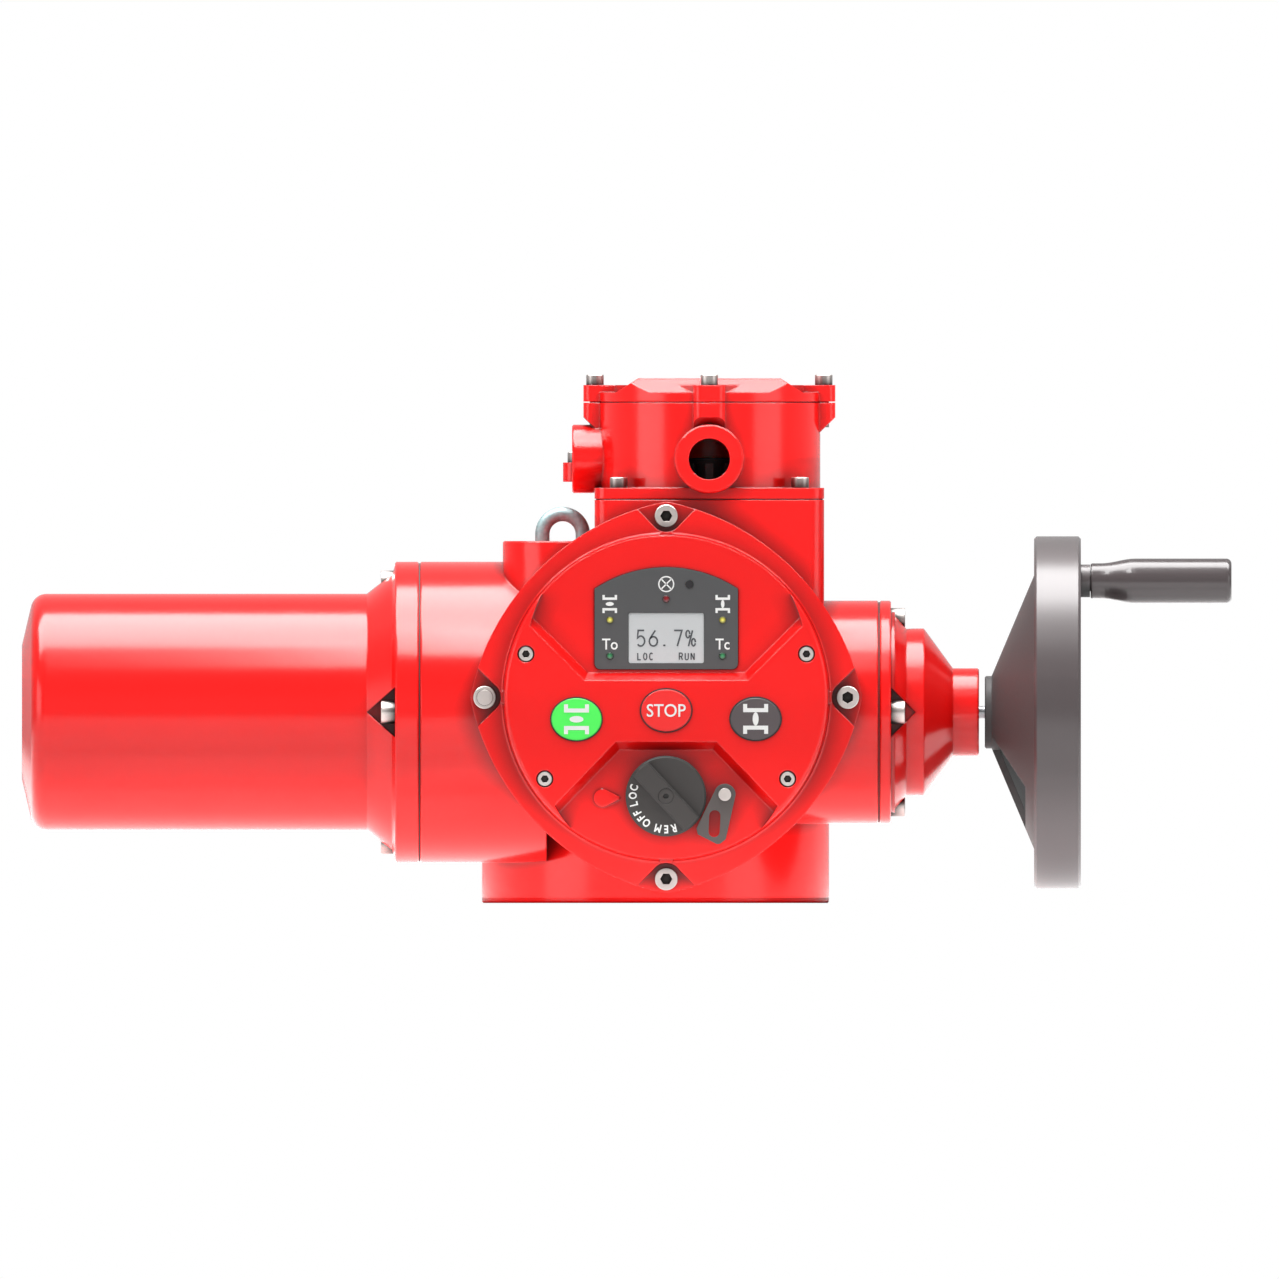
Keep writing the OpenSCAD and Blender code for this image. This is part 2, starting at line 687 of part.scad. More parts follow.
// Motor
module motor_cover() {
    color(red) difference() {
        turn_x(concat(
            [[0, -motor_end], [38, -motor_end]],
            arc(motor_r - motor_edge_r, -motor_end + 14, motor_edge_r, -76, 0),
            [[motor_r, -flange_back - 16], [79, -flange_back - 1.7], [motor_side_r - edge, -flange_back],
            [motor_side_r, -flange_back + edge], [motor_side_r, -motor_joint - edge],
            [motor_side_r - edge, -motor_joint], [shield_r + seat_gap, -motor_joint],
            [shield_r + seat_gap, -shield_step], [bore_r, -shield_step], [bore_r, -motor_end + 16],
            [bore_r - 8, -motor_end + 10], [motor_bearing_r + 5, -motor_end + 10],
            [motor_bearing_r + 5, -rear_bearing], [motor_bearing_r + run_gap, -rear_bearing],
            [motor_bearing_r + run_gap, -rear_bearing - motor_bearing_w],
            [0, -rear_bearing - motor_bearing_w]]
        ));
        for (a = [0:90:270]) translate([-flange_back, worm_y, axis_z]) rotate([a, 0, 0])
            translate([0, 0, motor_bolt_r - m8[1] - 1]) linear_extrude(30)
                polygon([[-16, 0], [0, notch_half], [0, -notch_half]]);
        at_motor_screws() screw_hole(m8, motor_flange_t + 2);
    }
}
module motor_cover_screws() {
    color(steel) at_motor_screws() cap_screw(m8, motor_flange_t + gasket_t + screw_bite);
}
module motor_end_shield() {
    color(dark_steel) turn_x([
        [20, -front_bearing - motor_bearing_w - 2], [32, -front_bearing - motor_bearing_w - 2],
        [32, -shield_step], [shield_r, -shield_step], [shield_r, -motor_joint],
        [motor_bearing_r + run_gap, -motor_joint],
        [motor_bearing_r + run_gap, -front_bearing - motor_bearing_w], [20, -front_bearing - motor_bearing_w]
    ]);
}
module motor_stator() {
    color([0.45, 0.45, 0.48])
        x_ring(bore_r - seat_gap, rotor_r + 0.5, -stator_back, stator_back - stator_front);
}
module motor_windings() {
    color([0.72, 0.4, 0.2]) for (x = [-stator_back - coil_len, -stator_front])
        x_ring(bore_r - 4, rotor_r + 5, x, coil_len);
}
module motor_rotor() {
    color(dark_steel) x_ring(rotor_r, motor_bar_r + run_gap, -stator_back, stator_back - stator_front);
}
module motor_shaft() {
    color(steel) turn_x([
        [0, -rear_bearing - motor_bearing_w + 0.3], [motor_journal_r, -rear_bearing - motor_bearing_w + 0.3],
        [motor_journal_r, -rear_bearing], [motor_bar_r, -rear_bearing],
        [motor_bar_r, -front_bearing - motor_bearing_w], [motor_journal_r, -front_bearing - motor_bearing_w],
        [motor_journal_r, -front_bearing], [worm_journal_r, -front_bearing],
        [worm_journal_r, -clutch_face - clutch_gap - 11], [clutch_r, -clutch_face - clutch_gap - 11],
        [clutch_r, -clutch_face - clutch_gap], [0, -clutch_face - clutch_gap]
    ]);
}
module motor_bearings() {
    color(steel) for (x = [-rear_bearing - motor_bearing_w, -front_bearing - motor_bearing_w])
        translate([x, worm_y, axis_z]) rotate([0, 90, 0])
            bearing(motor_bearing_r, motor_journal_r + run_gap, motor_bearing_w);
}

// Manual drive
module manual_cover() {
    color(red) difference() {
        turn_x([
            [hand_pocket_r, hand_joint], [hand_side_r - edge, hand_joint], [hand_side_r, hand_joint + edge],
            [hand_side_r, hand_seat - edge], [hand_side_r - edge, hand_seat], [hand_side_r - 5, hand_seat],
            [hand_side_r - 5, hand_seat + 2.2], [hand_side_r - 7.3, hand_seat + 2.2],
            [hand_ring_r, ring_start], [hand_ring_r, ring_end - edge], [hand_ring_r - edge, ring_end],
            [collar_r, collar_start], [collar_r, collar_end - edge], [collar_r - edge, collar_end],
            [bush_r + run_gap, collar_end], [bush_r + run_gap, bush_start], [hand_shaft_r + 2, bush_start],
            [hand_shaft_r + 2, bush_start - 3], [hand_pocket_r, ring_end - 5]
        ]);
        for (a = [0:90:270]) translate([hand_seat, worm_y, axis_z]) rotate([a, 0, 0])
            translate([0, 0, hand_bolt_r - m8[1] - 0.2]) linear_extrude(30)
                polygon([[14, 0], [0, 14], [0, -14]]);
        at_hand_screws() screw_hole(m8, hand_seat - hand_face + 2);
    }
}
module manual_cover_screws() {
    color(steel) at_hand_screws() cap_screw(m8, hand_seat - hand_face + screw_bite);
}
module shaft_bush() {
    color([0.72, 0.53, 0.26]) x_ring(bush_r, hand_shaft_r + run_gap, bush_start, bush_len);
}
module shaft_seal() {
    color(rubber_black) x_ring(bush_r, shaft_neck_r + run_gap, seal_start, collar_end - seal_start - 0.2);
}
module handwheel_shaft() {
    color(dark_steel) turn_x([
        [spline_r + run_gap, bearing_face + 2], [spline_r + 5, bearing_face + 2],
        [spline_r + 5, bush_start - 6], [hand_shaft_r, bush_start - 6], [hand_shaft_r, seal_start - 0.4],
        [shaft_neck_r, seal_start - 0.4], [shaft_neck_r, hub_face], [hub_bore_r, hub_face + 0.5],
        [hub_bore_r, hub_back], [nut_r, hub_back], [nut_r, nut_end], [0, nut_end], [0, spline_end + 0.2],
        [spline_r + run_gap, spline_end + 0.2]
    ]);
}

// Handwheel with a dished web, two windows and a turning handle
dish_back = dish_t * sqrt(1 + dish_slope * dish_slope);
module handwheel() {
    color(wheel_grey) difference() {
        turn_x([
            [hub_bore_r + run_gap, hub_face], [hub_r - edge, hub_face], [hub_r, hub_face + edge],
            [hub_r, hub_step], [rim_in_r + 1.7, rim_face], [wheel_r - 1.5, rim_face],
            [wheel_r, rim_face + 1.5], [wheel_r, rim_back - 1.5], [wheel_r - 1.5, rim_back],
            [rim_in_r + 1.5, rim_back], [rim_in_r, rim_back - 1.5],
            [rim_in_r, hub_step + dish_back + dish_slope * (rim_in_r - hub_r)],
            [hub_r, hub_step + dish_back], [hub_r, hub_back], [hub_bore_r + run_gap, hub_back]
        ]);
        for (a = [130, 310]) translate([hub_step - 1, worm_y, axis_z]) rotate([0, 90, 0])
            linear_extrude(rim_face - hub_step + 1) intersection() {
                difference() {
                    circle(rim_in_r - 10);
                    circle(hub_r + 0.9);
                }
                polygon([[0, 0], for (i = [0:5]) polar(wheel_r, a + window_angle * i / 5)]);
            }
        translate([rim_back - 15, handle_y, handle_z]) rotate([0, 90, 0]) cylinder(h = 16, r = 5 + run_gap);
    }
}
module hub_nut() {
    color(steel) x_ring(12, nut_r + run_gap, hub_back, 2.5);
    color(steel) translate([hub_back + 2.5, worm_y, axis_z]) rotate([0, 90, 0]) difference() {
        cylinder(h = 8, r = 9.5 / cos(30), $fn = 6);
        translate([0, 0, -through]) cylinder(h = 10, r = nut_r + run_gap);
    }
}
module turn_handle(profile) {
    translate([0, handle_y, handle_z]) rotate([0, 90, 0]) rotate_extrude() polygon(profile);
}
module handle_bolt() {
    color(wheel_grey) turn_handle([
        [0, rim_back - 14.6], [5, rim_back - 14.6], [5, rim_back], [9.3, rim_back], [9.3, grip_start],
        [spindle_r, grip_start], [spindle_r, spindle_end], [0, spindle_end]
    ]);
}
module handle_grip() {
    swell = [for (i = [0:8]) [grip_r - 2.7 * (1 + cos(i * 22.5)) / 2, grip_start + 6 + 20 * i / 8]];
    color(wheel_grey) turn_handle(concat(
        [[spindle_r + seat_gap, grip_start + 0.3], [grip_r - 3.4, grip_start + 0.3],
        [grip_r - 2.7, grip_start + 1]],
        swell,
        arc(grip_r - 3, grip_start + grip_len - 3, 3, 0, 90),
        [[0, grip_start + grip_len], [0, spindle_end + 0.5], [spindle_r + seat_gap, spindle_end + 0.5]]
    ));
}

// Control cover
// The straight sides of a screw pocket start just inside its round part
side_inset = 0.12;
// Four large arcs, with the tips of the lugs blunted
module cover_outline(inset = 0) {
    intersection() {
        circle(lug_tip_r - 0.4 - inset);
        translate([arc_shift, arc_shift]) circle(arc_r - inset);
        translate([-arc_shift, arc_shift]) circle(arc_r - inset);
        translate([arc_shift, -arc_shift]) circle(arc_r - inset);
        translate([-arc_shift, -arc_shift]) circle(arc_r - inset);
    }
}
// The two recessed fields run out at the dome's edge, and the band's sides lean towards them
upper_corner = [46.4, 9.6];
upper_angle = 44.8;
lower_corner = [28.6, -25.2];
lower_angle = 46;
module band_side(at, angle) {
    translate([at[0], at[1], 0]) rotate(angle) translate([-200, 0, 0]) rotate([90, 0, 90]) linear_extrude(400)
        polygon([[-band_lean / band_h * through, band_face + through], [band_lean, field_face - eps],
            [300, field_face - eps], [300, band_face + through]]);
}
module upper_field() {
    translate([cover_x, 0, cover_z]) rotate([90, 0, 0]) intersection() {
        translate([0, 22.4, field_face - through]) cylinder(h = band_h + 3 * through, r = 79.5);
        band_side([0, upper_corner[1]], 0);
        band_side(upper_corner, upper_angle);
        band_side([-upper_corner[0], upper_corner[1]], -upper_angle);
    }
}
module lower_field() {
    translate([cover_x, 0, cover_z]) rotate([90, 0, 0]) intersection() {
        translate([0, -25.9, field_face - through]) cylinder(h = band_h + 3 * through, r = 72.7);
        band_side([0, lower_corner[1]], 180);
        band_side(lower_corner, 180 - lower_angle);
        band_side([-lower_corner[0], lower_corner[1]], lower_angle - 180);
    }
}
module oval(grow = 0) {
    polygon(ellipse(button_a + grow, button_b + grow));
}
module panel_outline(grow = 0) {
    intersection() {
        soft_box([-40.7 - grow, 16 - grow], [40.7 + grow, 90], 3.4);
        circle(73.9 + grow);
    }
}
module at_buttons() {
    for (p = [open_at, stop_at, close_at]) translate(p) children();
}
module led_places(grow = 0) {
    for (x = [-32, 32], z = [44, 23.6]) translate([x, z]) circle(led_r + grow);
    translate(fault_at) circle(led_r + grow);
    translate(ir_at) circle(ir_r + grow);
}
module control_cover() {
    color(red) difference() {
        union() {
            on_cover(front_y, cover_face) cover_outline();
            turn_cover(concat([[0, front_y], [dome_r + dome_foot, front_y]],
                arc(dome_r + dome_foot, cover_face + dome_foot, dome_foot, 270, 180, 4),
                arc(dome_r - dome_round, field_face - dome_round, dome_round, 0, 90), [[0, field_face]]));
            difference() {
                turn_cover(concat([[0, front_y], [dome_r - 1, front_y]],
                    arc(dome_r - 3.5, band_face - 2.5, 2.5, 0, 90), [[0, band_face]]));
                upper_field();
                lower_field();
            }
            for (a = [0:90:270])
                on_cover(front_y, cover_face + 4) rotate(a) translate([dome_r - 2, 0]) circle(4.2);
            on_cover(cover_face, field_face + 1.5) pointer();
            on_cover(cover_face, lever_face - lever_t - hole_gap) translate(lever_at) circle(lever_boss_r);
        }
        turn_cover([[0, front_y - through], [cover_bore_r, front_y - through], [cover_bore_r, inner_face],
            [0, inner_face]]);
        for (a = [0:90:270]) on_cover(pocket_face, cover_face + 20) rotate(a) translate([lug_at_r, 0]) {
            circle(head_pocket_r);
            upper_side = polar(head_pocket_r - side_inset, 135);
            lower_side = polar(head_pocket_r - side_inset, -135);
            polygon([[0, 0], upper_side, upper_side + [40, 40], lower_side + [40, -40], lower_side]);
        }
        at_cover_screws() screw_hole(m8, pocket_face - front_y + 2);
        at_band_screws() {
            screw_hole(m5, band_face - inner_face);
            cylinder(h = 6, r = m5[1] + 0.65);
        }
        on_cover(inner_face - through, button_shoulder) at_buttons() oval(button_lip + button_gap);
        on_cover(inner_face - through, inner_face + mat_t + seat_gap) soft_box([-70, -27], [70, 7], 4);
        on_cover(inner_face, band_face + through) at_buttons() oval(button_gap);
        on_cover(panel_face - panel_t, band_face + through) panel_outline(seat_gap);
        on_cover(inner_face - through, band_face) soft_box(lcd_low - [1.5, 1.5], lcd_high + [1.5, 1.5], 1.5);
        on_cover(inner_face - through, band_face) led_places(seat_gap);
        on_cover(inner_face - through, band_face) translate(knob_at) circle(stem_pin_r + seat_gap);
        on_cover(inner_face - through, lever_face) translate(lever_at) circle(lever_pin_r + run_gap);
    }
}
module pointer() {
    translate([-36.2, -57.1]) circle(5);
    polygon([[-36.2, -52.1], [-33.4, -52.9], [-26.5, -56.3], [-26.5, -57.9], [-33.4, -61.3], [-36.2, -62.1]]);
}
module control_cover_screws() {
    color(steel) at_cover_screws() cap_screw(m8, pocket_face - front_y + screw_bite);
}
module control_seal() {
    half_w = groove_w / 2 - seat_gap;
    color(rubber_black) turn_cover([[groove_r - half_w, front_y - groove_depth],
        [groove_r + half_w, front_y - groove_depth], [groove_r + half_w, front_y],
        [groove_r - half_w, front_y]]);
}

// Display unit behind the cover
module board_frame() {
    color([0.8, 0.8, 0.8]) difference() {
        on_cover(board_face, inner_face) difference() {
            circle(cover_bore_r - 0.5);
            soft_box([-38, 14], [38, 72], 4);
            translate(knob_at) circle(7);
            translate(lever_at) circle(lever_pin_r + 1);
        }
        at_band_screws() screw_hole(m5, band_face - board_face);
    }
}
module board_frame_screws() {
    color(steel) at_band_screws() cap_screw(m5, band_face - m5[2] - board_face);
}
module display_board() {
    color([0.05, 0.35, 0.15]) on_cover(board_face - board_t, board_face) circle(board_r);
}
module display_panel() {
    color([0.42, 0.43, 0.43]) on_cover(panel_face - panel_t, panel_face) difference() {
        panel_outline();
        soft_box(lcd_low, lcd_high, 1.2);
        led_places(seat_gap);
    }
}
module lcd_module() {
    color([0.84, 0.85, 0.86]) on_cover(board_face, panel_face - lcd_depth)
        soft_box(lcd_low + [0.1, 0.1], lcd_high - [0.1, 0.1], 1.1);
}
module led(at, r = led_r) {
    on_cover(board_face, panel_face + 0.4) translate(at) circle(r);
}
module position_leds() {
    color([0.75, 0.68, 0.1]) for (x = [-32, 32]) led([x, 44]);
}
module torque_leds() {
    color([0.05, 0.35, 0.15]) for (x = [-32, 32]) led([x, 23.6]);
}
module fault_led() {
    color([0.5, 0.03, 0.05]) led(fault_at);
}
module ir_window() {
    color(rubber_black) led(ir_at, ir_r);
}

// Push buttons, selector and lock lever
module keypad_mat() {
    color([0.2, 0.2, 0.2]) on_cover(inner_face, inner_face + mat_t) soft_box([-69, -26], [69, 6], 3.5);
}
module button(at) {
    on_cover(button_back, button_back + button_lip_t) translate(at) oval(button_lip);
    on_cover(button_back + button_lip_t - eps, band_face + button_proud - 0.4) translate(at) oval();
    on_cover(band_face + button_proud - 0.4 - eps, band_face + button_proud) translate(at) oval(-0.4);
}
module open_button() {
    color([0.3, 0.98, 0.35]) union() button(open_at);
}
module stop_button() {
    color([0.93, 0.12, 0.12]) union() button(stop_at);
}
module close_button() {
    color([0.37, 0.33, 0.34]) union() button(close_at);
}
module selector_knob() {
    color([0.28, 0.26, 0.26]) difference() {
        union() {
            on_cover(inner_face - 3, field_face + 0.3 + eps) translate(knob_at) circle(stem_pin_r);
            on_cover(field_face + 0.3, knob_face - edge) translate(knob_at) circle(knob_r);
            on_cover(knob_face - edge - eps, knob_face) translate(knob_at) circle(knob_r - edge);
            on_cover(knob_face - eps, knob_face + knob_bar_h) knob_bar(0);
            on_cover(knob_face + knob_bar_h - eps, knob_face + knob_bar_h + edge) knob_bar(edge);
        }
        on_cover(knob_face + knob_bar_h - 2, knob_face + knob_bar_h + 2) translate(knob_at) circle(4.45);
        on_cover(knob_face - 2, knob_face + knob_bar_h) translate(knob_at) circle(1.6);
    }
}
module knob_bar(inset) {
    translate(knob_at) intersection() {
        circle(knob_r - edge - inset);
        rotate(knob_turn) square([2 * knob_r, knob_bar_w - 2 * inset], center = true);
    }
}
module selector_screw() {
    color([0.22, 0.2, 0.2]) on_cover(knob_face + knob_bar_h - 2, knob_face + knob_bar_h + 0.5)
        translate(knob_at) difference() {
            circle(4.35);
            circle(1.65, $fn = 6);
        }
    color([0.22, 0.2, 0.2]) on_cover(knob_face - 1.9, knob_face + knob_bar_h - 2 + eps)
        translate(knob_at) circle(1.5);
}
lever_slot = [[-5.7, -12], [-6.1, -21]];
lever_points = concat(
    arc(0, 0, 6.2, 0, 165, 12),
    [[-16.2, -19.2], [-15.4, -22.6], [-4.6, -28.1], [-2.8, -28], [0.5, -25.4], [3.4, -12.7]]
);
module lock_lever() {
    color([0.32, 0.3, 0.3]) on_cover(lever_face - lever_t, lever_face) translate(lever_at) difference() {
        polygon(lever_points);
        circle(lever_pin_r + seat_gap);
        for (p = lever_slot) translate(p) circle(3.15);
        polygon([lever_slot[0] + [3.15, 0.1], lever_slot[0] - [3.15, -0.1], lever_slot[1] - [3.15, 0.1],
            lever_slot[1] + [3.15, -0.1]]);
    }
}
module lever_pin() {
    head_face = lever_face + hole_gap;
    color(steel) on_cover(inner_face + 1, head_face + eps) translate(lever_at) circle(lever_pin_r);
    color(steel) on_cover(head_face, head_face + 2) translate(lever_at) circle(3.6);
}

// Power electronics at the back of the control cavity
module power_unit() {
    board = front_y - ctrl_depth + post_h;
    color([0.1, 0.35, 0.2]) on_cover(board, board + 2) circle(ctrl_cavity_r - 5);
    color([0.3, 0.3, 0.3]) on_cover(board + 2, board + 38) soft_box([-45, 0], [5, 42], 2);
    color([0.85, 0.85, 0.8]) for (z = [-50, -8]) on_cover(board + 2, board + 30)
        soft_box([15, z], [55, z + 34], 2);
    color([0.2, 0.3, 0.5]) for (x = [-40, -22]) on_cover(board + 2, board + 32) translate([x, -30]) circle(8);
}

// Terminal head
module terminal_housing() {
    color(red) difference() {
        union() {
            translate([head_x, -head_y, head_base]) linear_extrude(head_flange_t)
                soft_square(column_w, column_w, column_corner);
            translate([head_x, -head_y, head_base]) cylinder(h = head_top - head_base, r = head_r);
            at_lid_lugs() head_lug(head_top - 18, head_top);
            translate([head_x, -head_y, entry_z]) rotate([90, 0, 0]) entry_boss();
            translate([head_x, -head_y, entry_z]) rotate([0, -90, 0]) entry_boss();
            translate([0, 0, head_flange_top + 3.4]) linear_extrude(11) earth_lug();
        }
        translate([head_x, -head_y, head_flange_top]) cylinder(h = head_h + through, r = head_r - head_wall);
        translate([head_x, -head_y, head_base - through])
            cylinder(h = head_flange_t + 2 * through, r = socket_r);
        for (t = [[90, 0, 0], [0, -90, 0]]) translate([head_x, -head_y, entry_z]) rotate(t)
            cylinder(h = entry_reach + through, r = entry_bore_r);
        at_head_screws() screw_hole(m6, head_flange_t + through);
        at_lid_lugs() translate([lid_bolt_r, 0, lid_lug_top]) screw_hole(m6, screw_bite + 12);
        translate([earth_at[0], earth_at[1], head_flange_top]) cylinder(h = 20, r = m6[0] + hole_gap);
    }
}
module entry_boss() {
    rotate_extrude() polygon([[0, head_r - head_wall + 2], [entry_r, head_r - head_wall + 2],
        [entry_r, entry_reach - edge], [entry_r - edge, entry_reach], [0, entry_reach]]);
}
// A lug tapers out of the cylinder wall below and keeps its width at the joint
module head_lug(low, high) {
    intersection() {
        translate([0, 0, low]) linear_extrude(high - low) translate([lug_reach / 2 + 15, 0])
            soft_square(lug_reach - 30, lug_w, 5);
        translate([0, 0, low]) cylinder(h = high - low, r1 = head_r - 1, r2 = head_r - 1 + (high - low));
    }
}
earth_at = [head_x - 75.6, -head_y + 27];
module earth_lug() {
    translate(earth_at) circle(7.6);
    translate([earth_at[0], earth_at[1] - 7.6]) square([26, 15.2]);
}
module terminal_housing_screws() {
    color(steel) at_head_screws() cap_screw(m6, head_flange_t + gasket_t + screw_bite);
}
module terminal_block() {
    color([0.15, 0.15, 0.16]) translate([head_x, -head_y, 0]) {
        translate([0, 0, column_top - 6])
            cylinder(h = head_flange_top - column_top + 6 + eps, r = socket_r - 0.5);
        translate([0, 0, head_flange_top]) cylinder(h = block_t, r = block_r);
        for (a = [0:15:345]) rotate(a) translate([block_r - 14, -2.5, head_flange_top + block_t - eps])
            cube([9, 5, 9]);
        translate([0, 0, head_flange_top + block_t - eps]) cylinder(h = 12, r = block_r / 2);
    }
}
module terminal_lid() {
    color(red) difference() {
        union() {
            translate([head_x, -head_y, lid_base]) cylinder(h = lid_rim - lid_base, r = head_r);
            at_lid_lugs() translate([0, 0, lid_base]) linear_extrude(lid_lug_top - lid_base)
                lid_lug();
            translate([head_x, -head_y, lid_rim - eps]) crown(crown_w, crown_top_w, crown_h);
        }
        translate([head_x, -head_y, lid_base - through])
            cylinder(h = lid_rim - lid_base - 3 + through, r = head_r - head_wall);
        translate([head_x, -head_y, lid_base]) crown(crown_w - 30, crown_top_w - 12, crown_h + 1.5);
        at_lid_lugs() translate([lid_bolt_r, 0, lid_lug_top]) screw_hole(m6, 20);
    }
}
// Flared towards the crown's slope
module lid_lug() {
    translate([lug_reach / 2 + 24, 0]) soft_square(lug_reach - 48, lug_w, 5);
    polygon([[54, lug_w / 2 - 0.5], [40, lug_w / 2 + 17], [40, -lug_w / 2 - 17], [54, 0.5 - lug_w / 2]]);
}
// A square frustum, two crossed prisms, cut to the round rim
module crown(low_w, high_w, h) {
    intersection() {
        crown_prism(low_w, high_w, h);
        rotate(90) crown_prism(low_w, high_w, h);
        cylinder(h = h, r = head_r);
    }
}
module crown_prism(low_w, high_w, h) {
    rotate([90, 0, 0]) translate([0, 0, -low_w]) linear_extrude(2 * low_w)
        polygon([[-low_w / 2, 0], [low_w / 2, 0], [high_w / 2, h], [-high_w / 2, h]]);
}
module terminal_lid_screws() {
    color(steel) at_lid_lugs() translate([lid_bolt_r, 0, lid_lug_top]) cap_screw(m6, screw_bite + 8);
}
module earth_screw() {
    color(steel) translate([earth_at[0], earth_at[1], head_flange_top + 14.4]) cap_screw(m6, 11);
}
module lifting_eye() {
    color([0.66, 0.67, 0.69]) translate([boss_at[0], boss_at[1], boss_top + eye_rise]) {
        rotate([90, 0, 0]) intersection() {
            rotate_extrude() translate([eye_r, 0]) circle(eye_wire_r);
            translate([-30, 0, -30]) cube([60, 30, 60]);
        }
        for (x = [-1, 1]) translate([x * eye_r, 0, -eye_rise - eye_depth])
            cylinder(h = eye_rise + eye_depth + eps, r = eye_wire_r);
    }
}

main_housing();
bearing_cover();
output_bearings();
output_seals();
stem_plug();
output_sleeve();
worm_wheel();
wheel_key();
wheel_spacer();
worm_shaft();
worm_bearings();
joint_gaskets();
motor_cover();
motor_cover_screws();
motor_end_shield();
motor_stator();
motor_windings();
motor_rotor();
motor_shaft();
motor_bearings();
manual_cover();
manual_cover_screws();
shaft_bush();
shaft_seal();
handwheel_shaft();
handwheel();
hub_nut();
handle_bolt();
handle_grip();
control_seal();
control_cover();
control_cover_screws();
board_frame();
board_frame_screws();
display_board();
display_panel();
lcd_module();
position_leds();
torque_leds();
fault_led();
ir_window();
keypad_mat();
open_button();
stop_button();
close_button();
selector_knob();
selector_screw();
lock_lever();
lever_pin();
power_unit();
terminal_housing();
terminal_housing_screws();
terminal_block();
terminal_lid();
terminal_lid_screws();
earth_screw();
lifting_eye();
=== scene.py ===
# %% [markdown]
# # Electric valve actuator
#
# The real machine is a set of painted castings: a motor, a worm gear on a base column, a control unit with
# a screen and three buttons, a terminal head and a handwheel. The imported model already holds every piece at
# its real size, so this lesson adds what a size can't say: paint, metal, plastic, print, lamps and light.
#
# Loading the frame first fixes the ruler for everything that follows. All lengths are in metres.

# %% Load the frame
import json
import math

import bmesh
import bpy
from mathutils import Matrix, Vector


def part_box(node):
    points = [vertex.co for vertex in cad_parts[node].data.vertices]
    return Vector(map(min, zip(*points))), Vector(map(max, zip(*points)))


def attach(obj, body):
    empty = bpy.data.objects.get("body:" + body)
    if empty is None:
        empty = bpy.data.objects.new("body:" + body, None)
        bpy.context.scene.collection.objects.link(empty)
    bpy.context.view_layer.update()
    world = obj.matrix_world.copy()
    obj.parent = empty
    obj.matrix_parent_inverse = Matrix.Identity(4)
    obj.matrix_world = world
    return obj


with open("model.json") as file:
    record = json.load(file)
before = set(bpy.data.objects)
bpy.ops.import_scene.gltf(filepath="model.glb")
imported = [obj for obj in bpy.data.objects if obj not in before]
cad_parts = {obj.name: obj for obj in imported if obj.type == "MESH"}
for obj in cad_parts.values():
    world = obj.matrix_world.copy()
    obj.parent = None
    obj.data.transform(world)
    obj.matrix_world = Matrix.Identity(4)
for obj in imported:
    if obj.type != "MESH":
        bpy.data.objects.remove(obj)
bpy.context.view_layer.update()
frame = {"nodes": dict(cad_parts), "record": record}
MM = 0.001
print("nodes in the frame:", len(frame["nodes"]))

# %% [markdown]
# ## Camera
#
# The photograph is taken square on, with no perspective: the motor's far end and its flange stand at the
# same height, and the screw heads on every side are seen straight. A perspective camera far away could come
# close, but an orthographic one is exactly that view. Its scale is the picture's width in metres.

# %% Camera
PICTURE_PIXELS = 1279
METRES_A_PIXEL = 0.5682 * MM
OUTPUT_AXIS_COLUMN = 655.5
MOUNTING_FACE_ROW = 903.0
CAMERA_AWAY = 3.0

camera_data = bpy.data.cameras.new("front_camera")
camera_data.type = "ORTHO"
camera_data.ortho_scale = PICTURE_PIXELS * METRES_A_PIXEL
camera_data.clip_end = 20.0
camera = bpy.data.objects.new("front_camera", camera_data)
bpy.context.scene.collection.objects.link(camera)
camera.location = (
    (PICTURE_PIXELS / 2 - OUTPUT_AXIS_COLUMN) * METRES_A_PIXEL,
    -CAMERA_AWAY,
    (MOUNTING_FACE_ROW - PICTURE_PIXELS / 2) * METRES_A_PIXEL,
)
camera.rotation_euler = (math.radians(90), 0.0, 0.0)
bpy.context.scene.camera = camera
print("picture width in metres:", round(camera_data.ortho_scale, 4))

# %% [markdown]
# ## Measures from the frame
#
# Every print, lamp and lip below sits on a face of the control cover. Their places could be typed in, but a
# later change of the model would leave them hanging. They are taken from the boxes of the nodes instead:
# the middle of the cover, and how far forward each face lies.

# %% Faces of the control unit
def middle(node):
    low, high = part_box(node)
    return (low + high) / 2


def front_face(node):
    """The Y of a node's face nearest the camera."""
    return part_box(node)[0].y


cover_middle = middle("control_cover")
panel_y = front_face("display_panel")
screen_y = front_face("lcd_module")
band_y = front_face("control_cover")
print("cover middle:", [round(v, 4) for v in cover_middle])
print("panel, screen and band at", round(panel_y, 4), round(screen_y, 4), round(band_y, 4))

# %% [markdown]
# ## Shader sums
#
# A finish is mostly arithmetic on noise: a little more roughness here, a little less colour there. Placing
# and wiring each node by hand hides that arithmetic. The class below wraps one output socket, so that a sum
# such as 0.2 + 0.1 * grain adds its own Math nodes, one method makes every other kind of node, and another
# picks a second output of the node it already has.

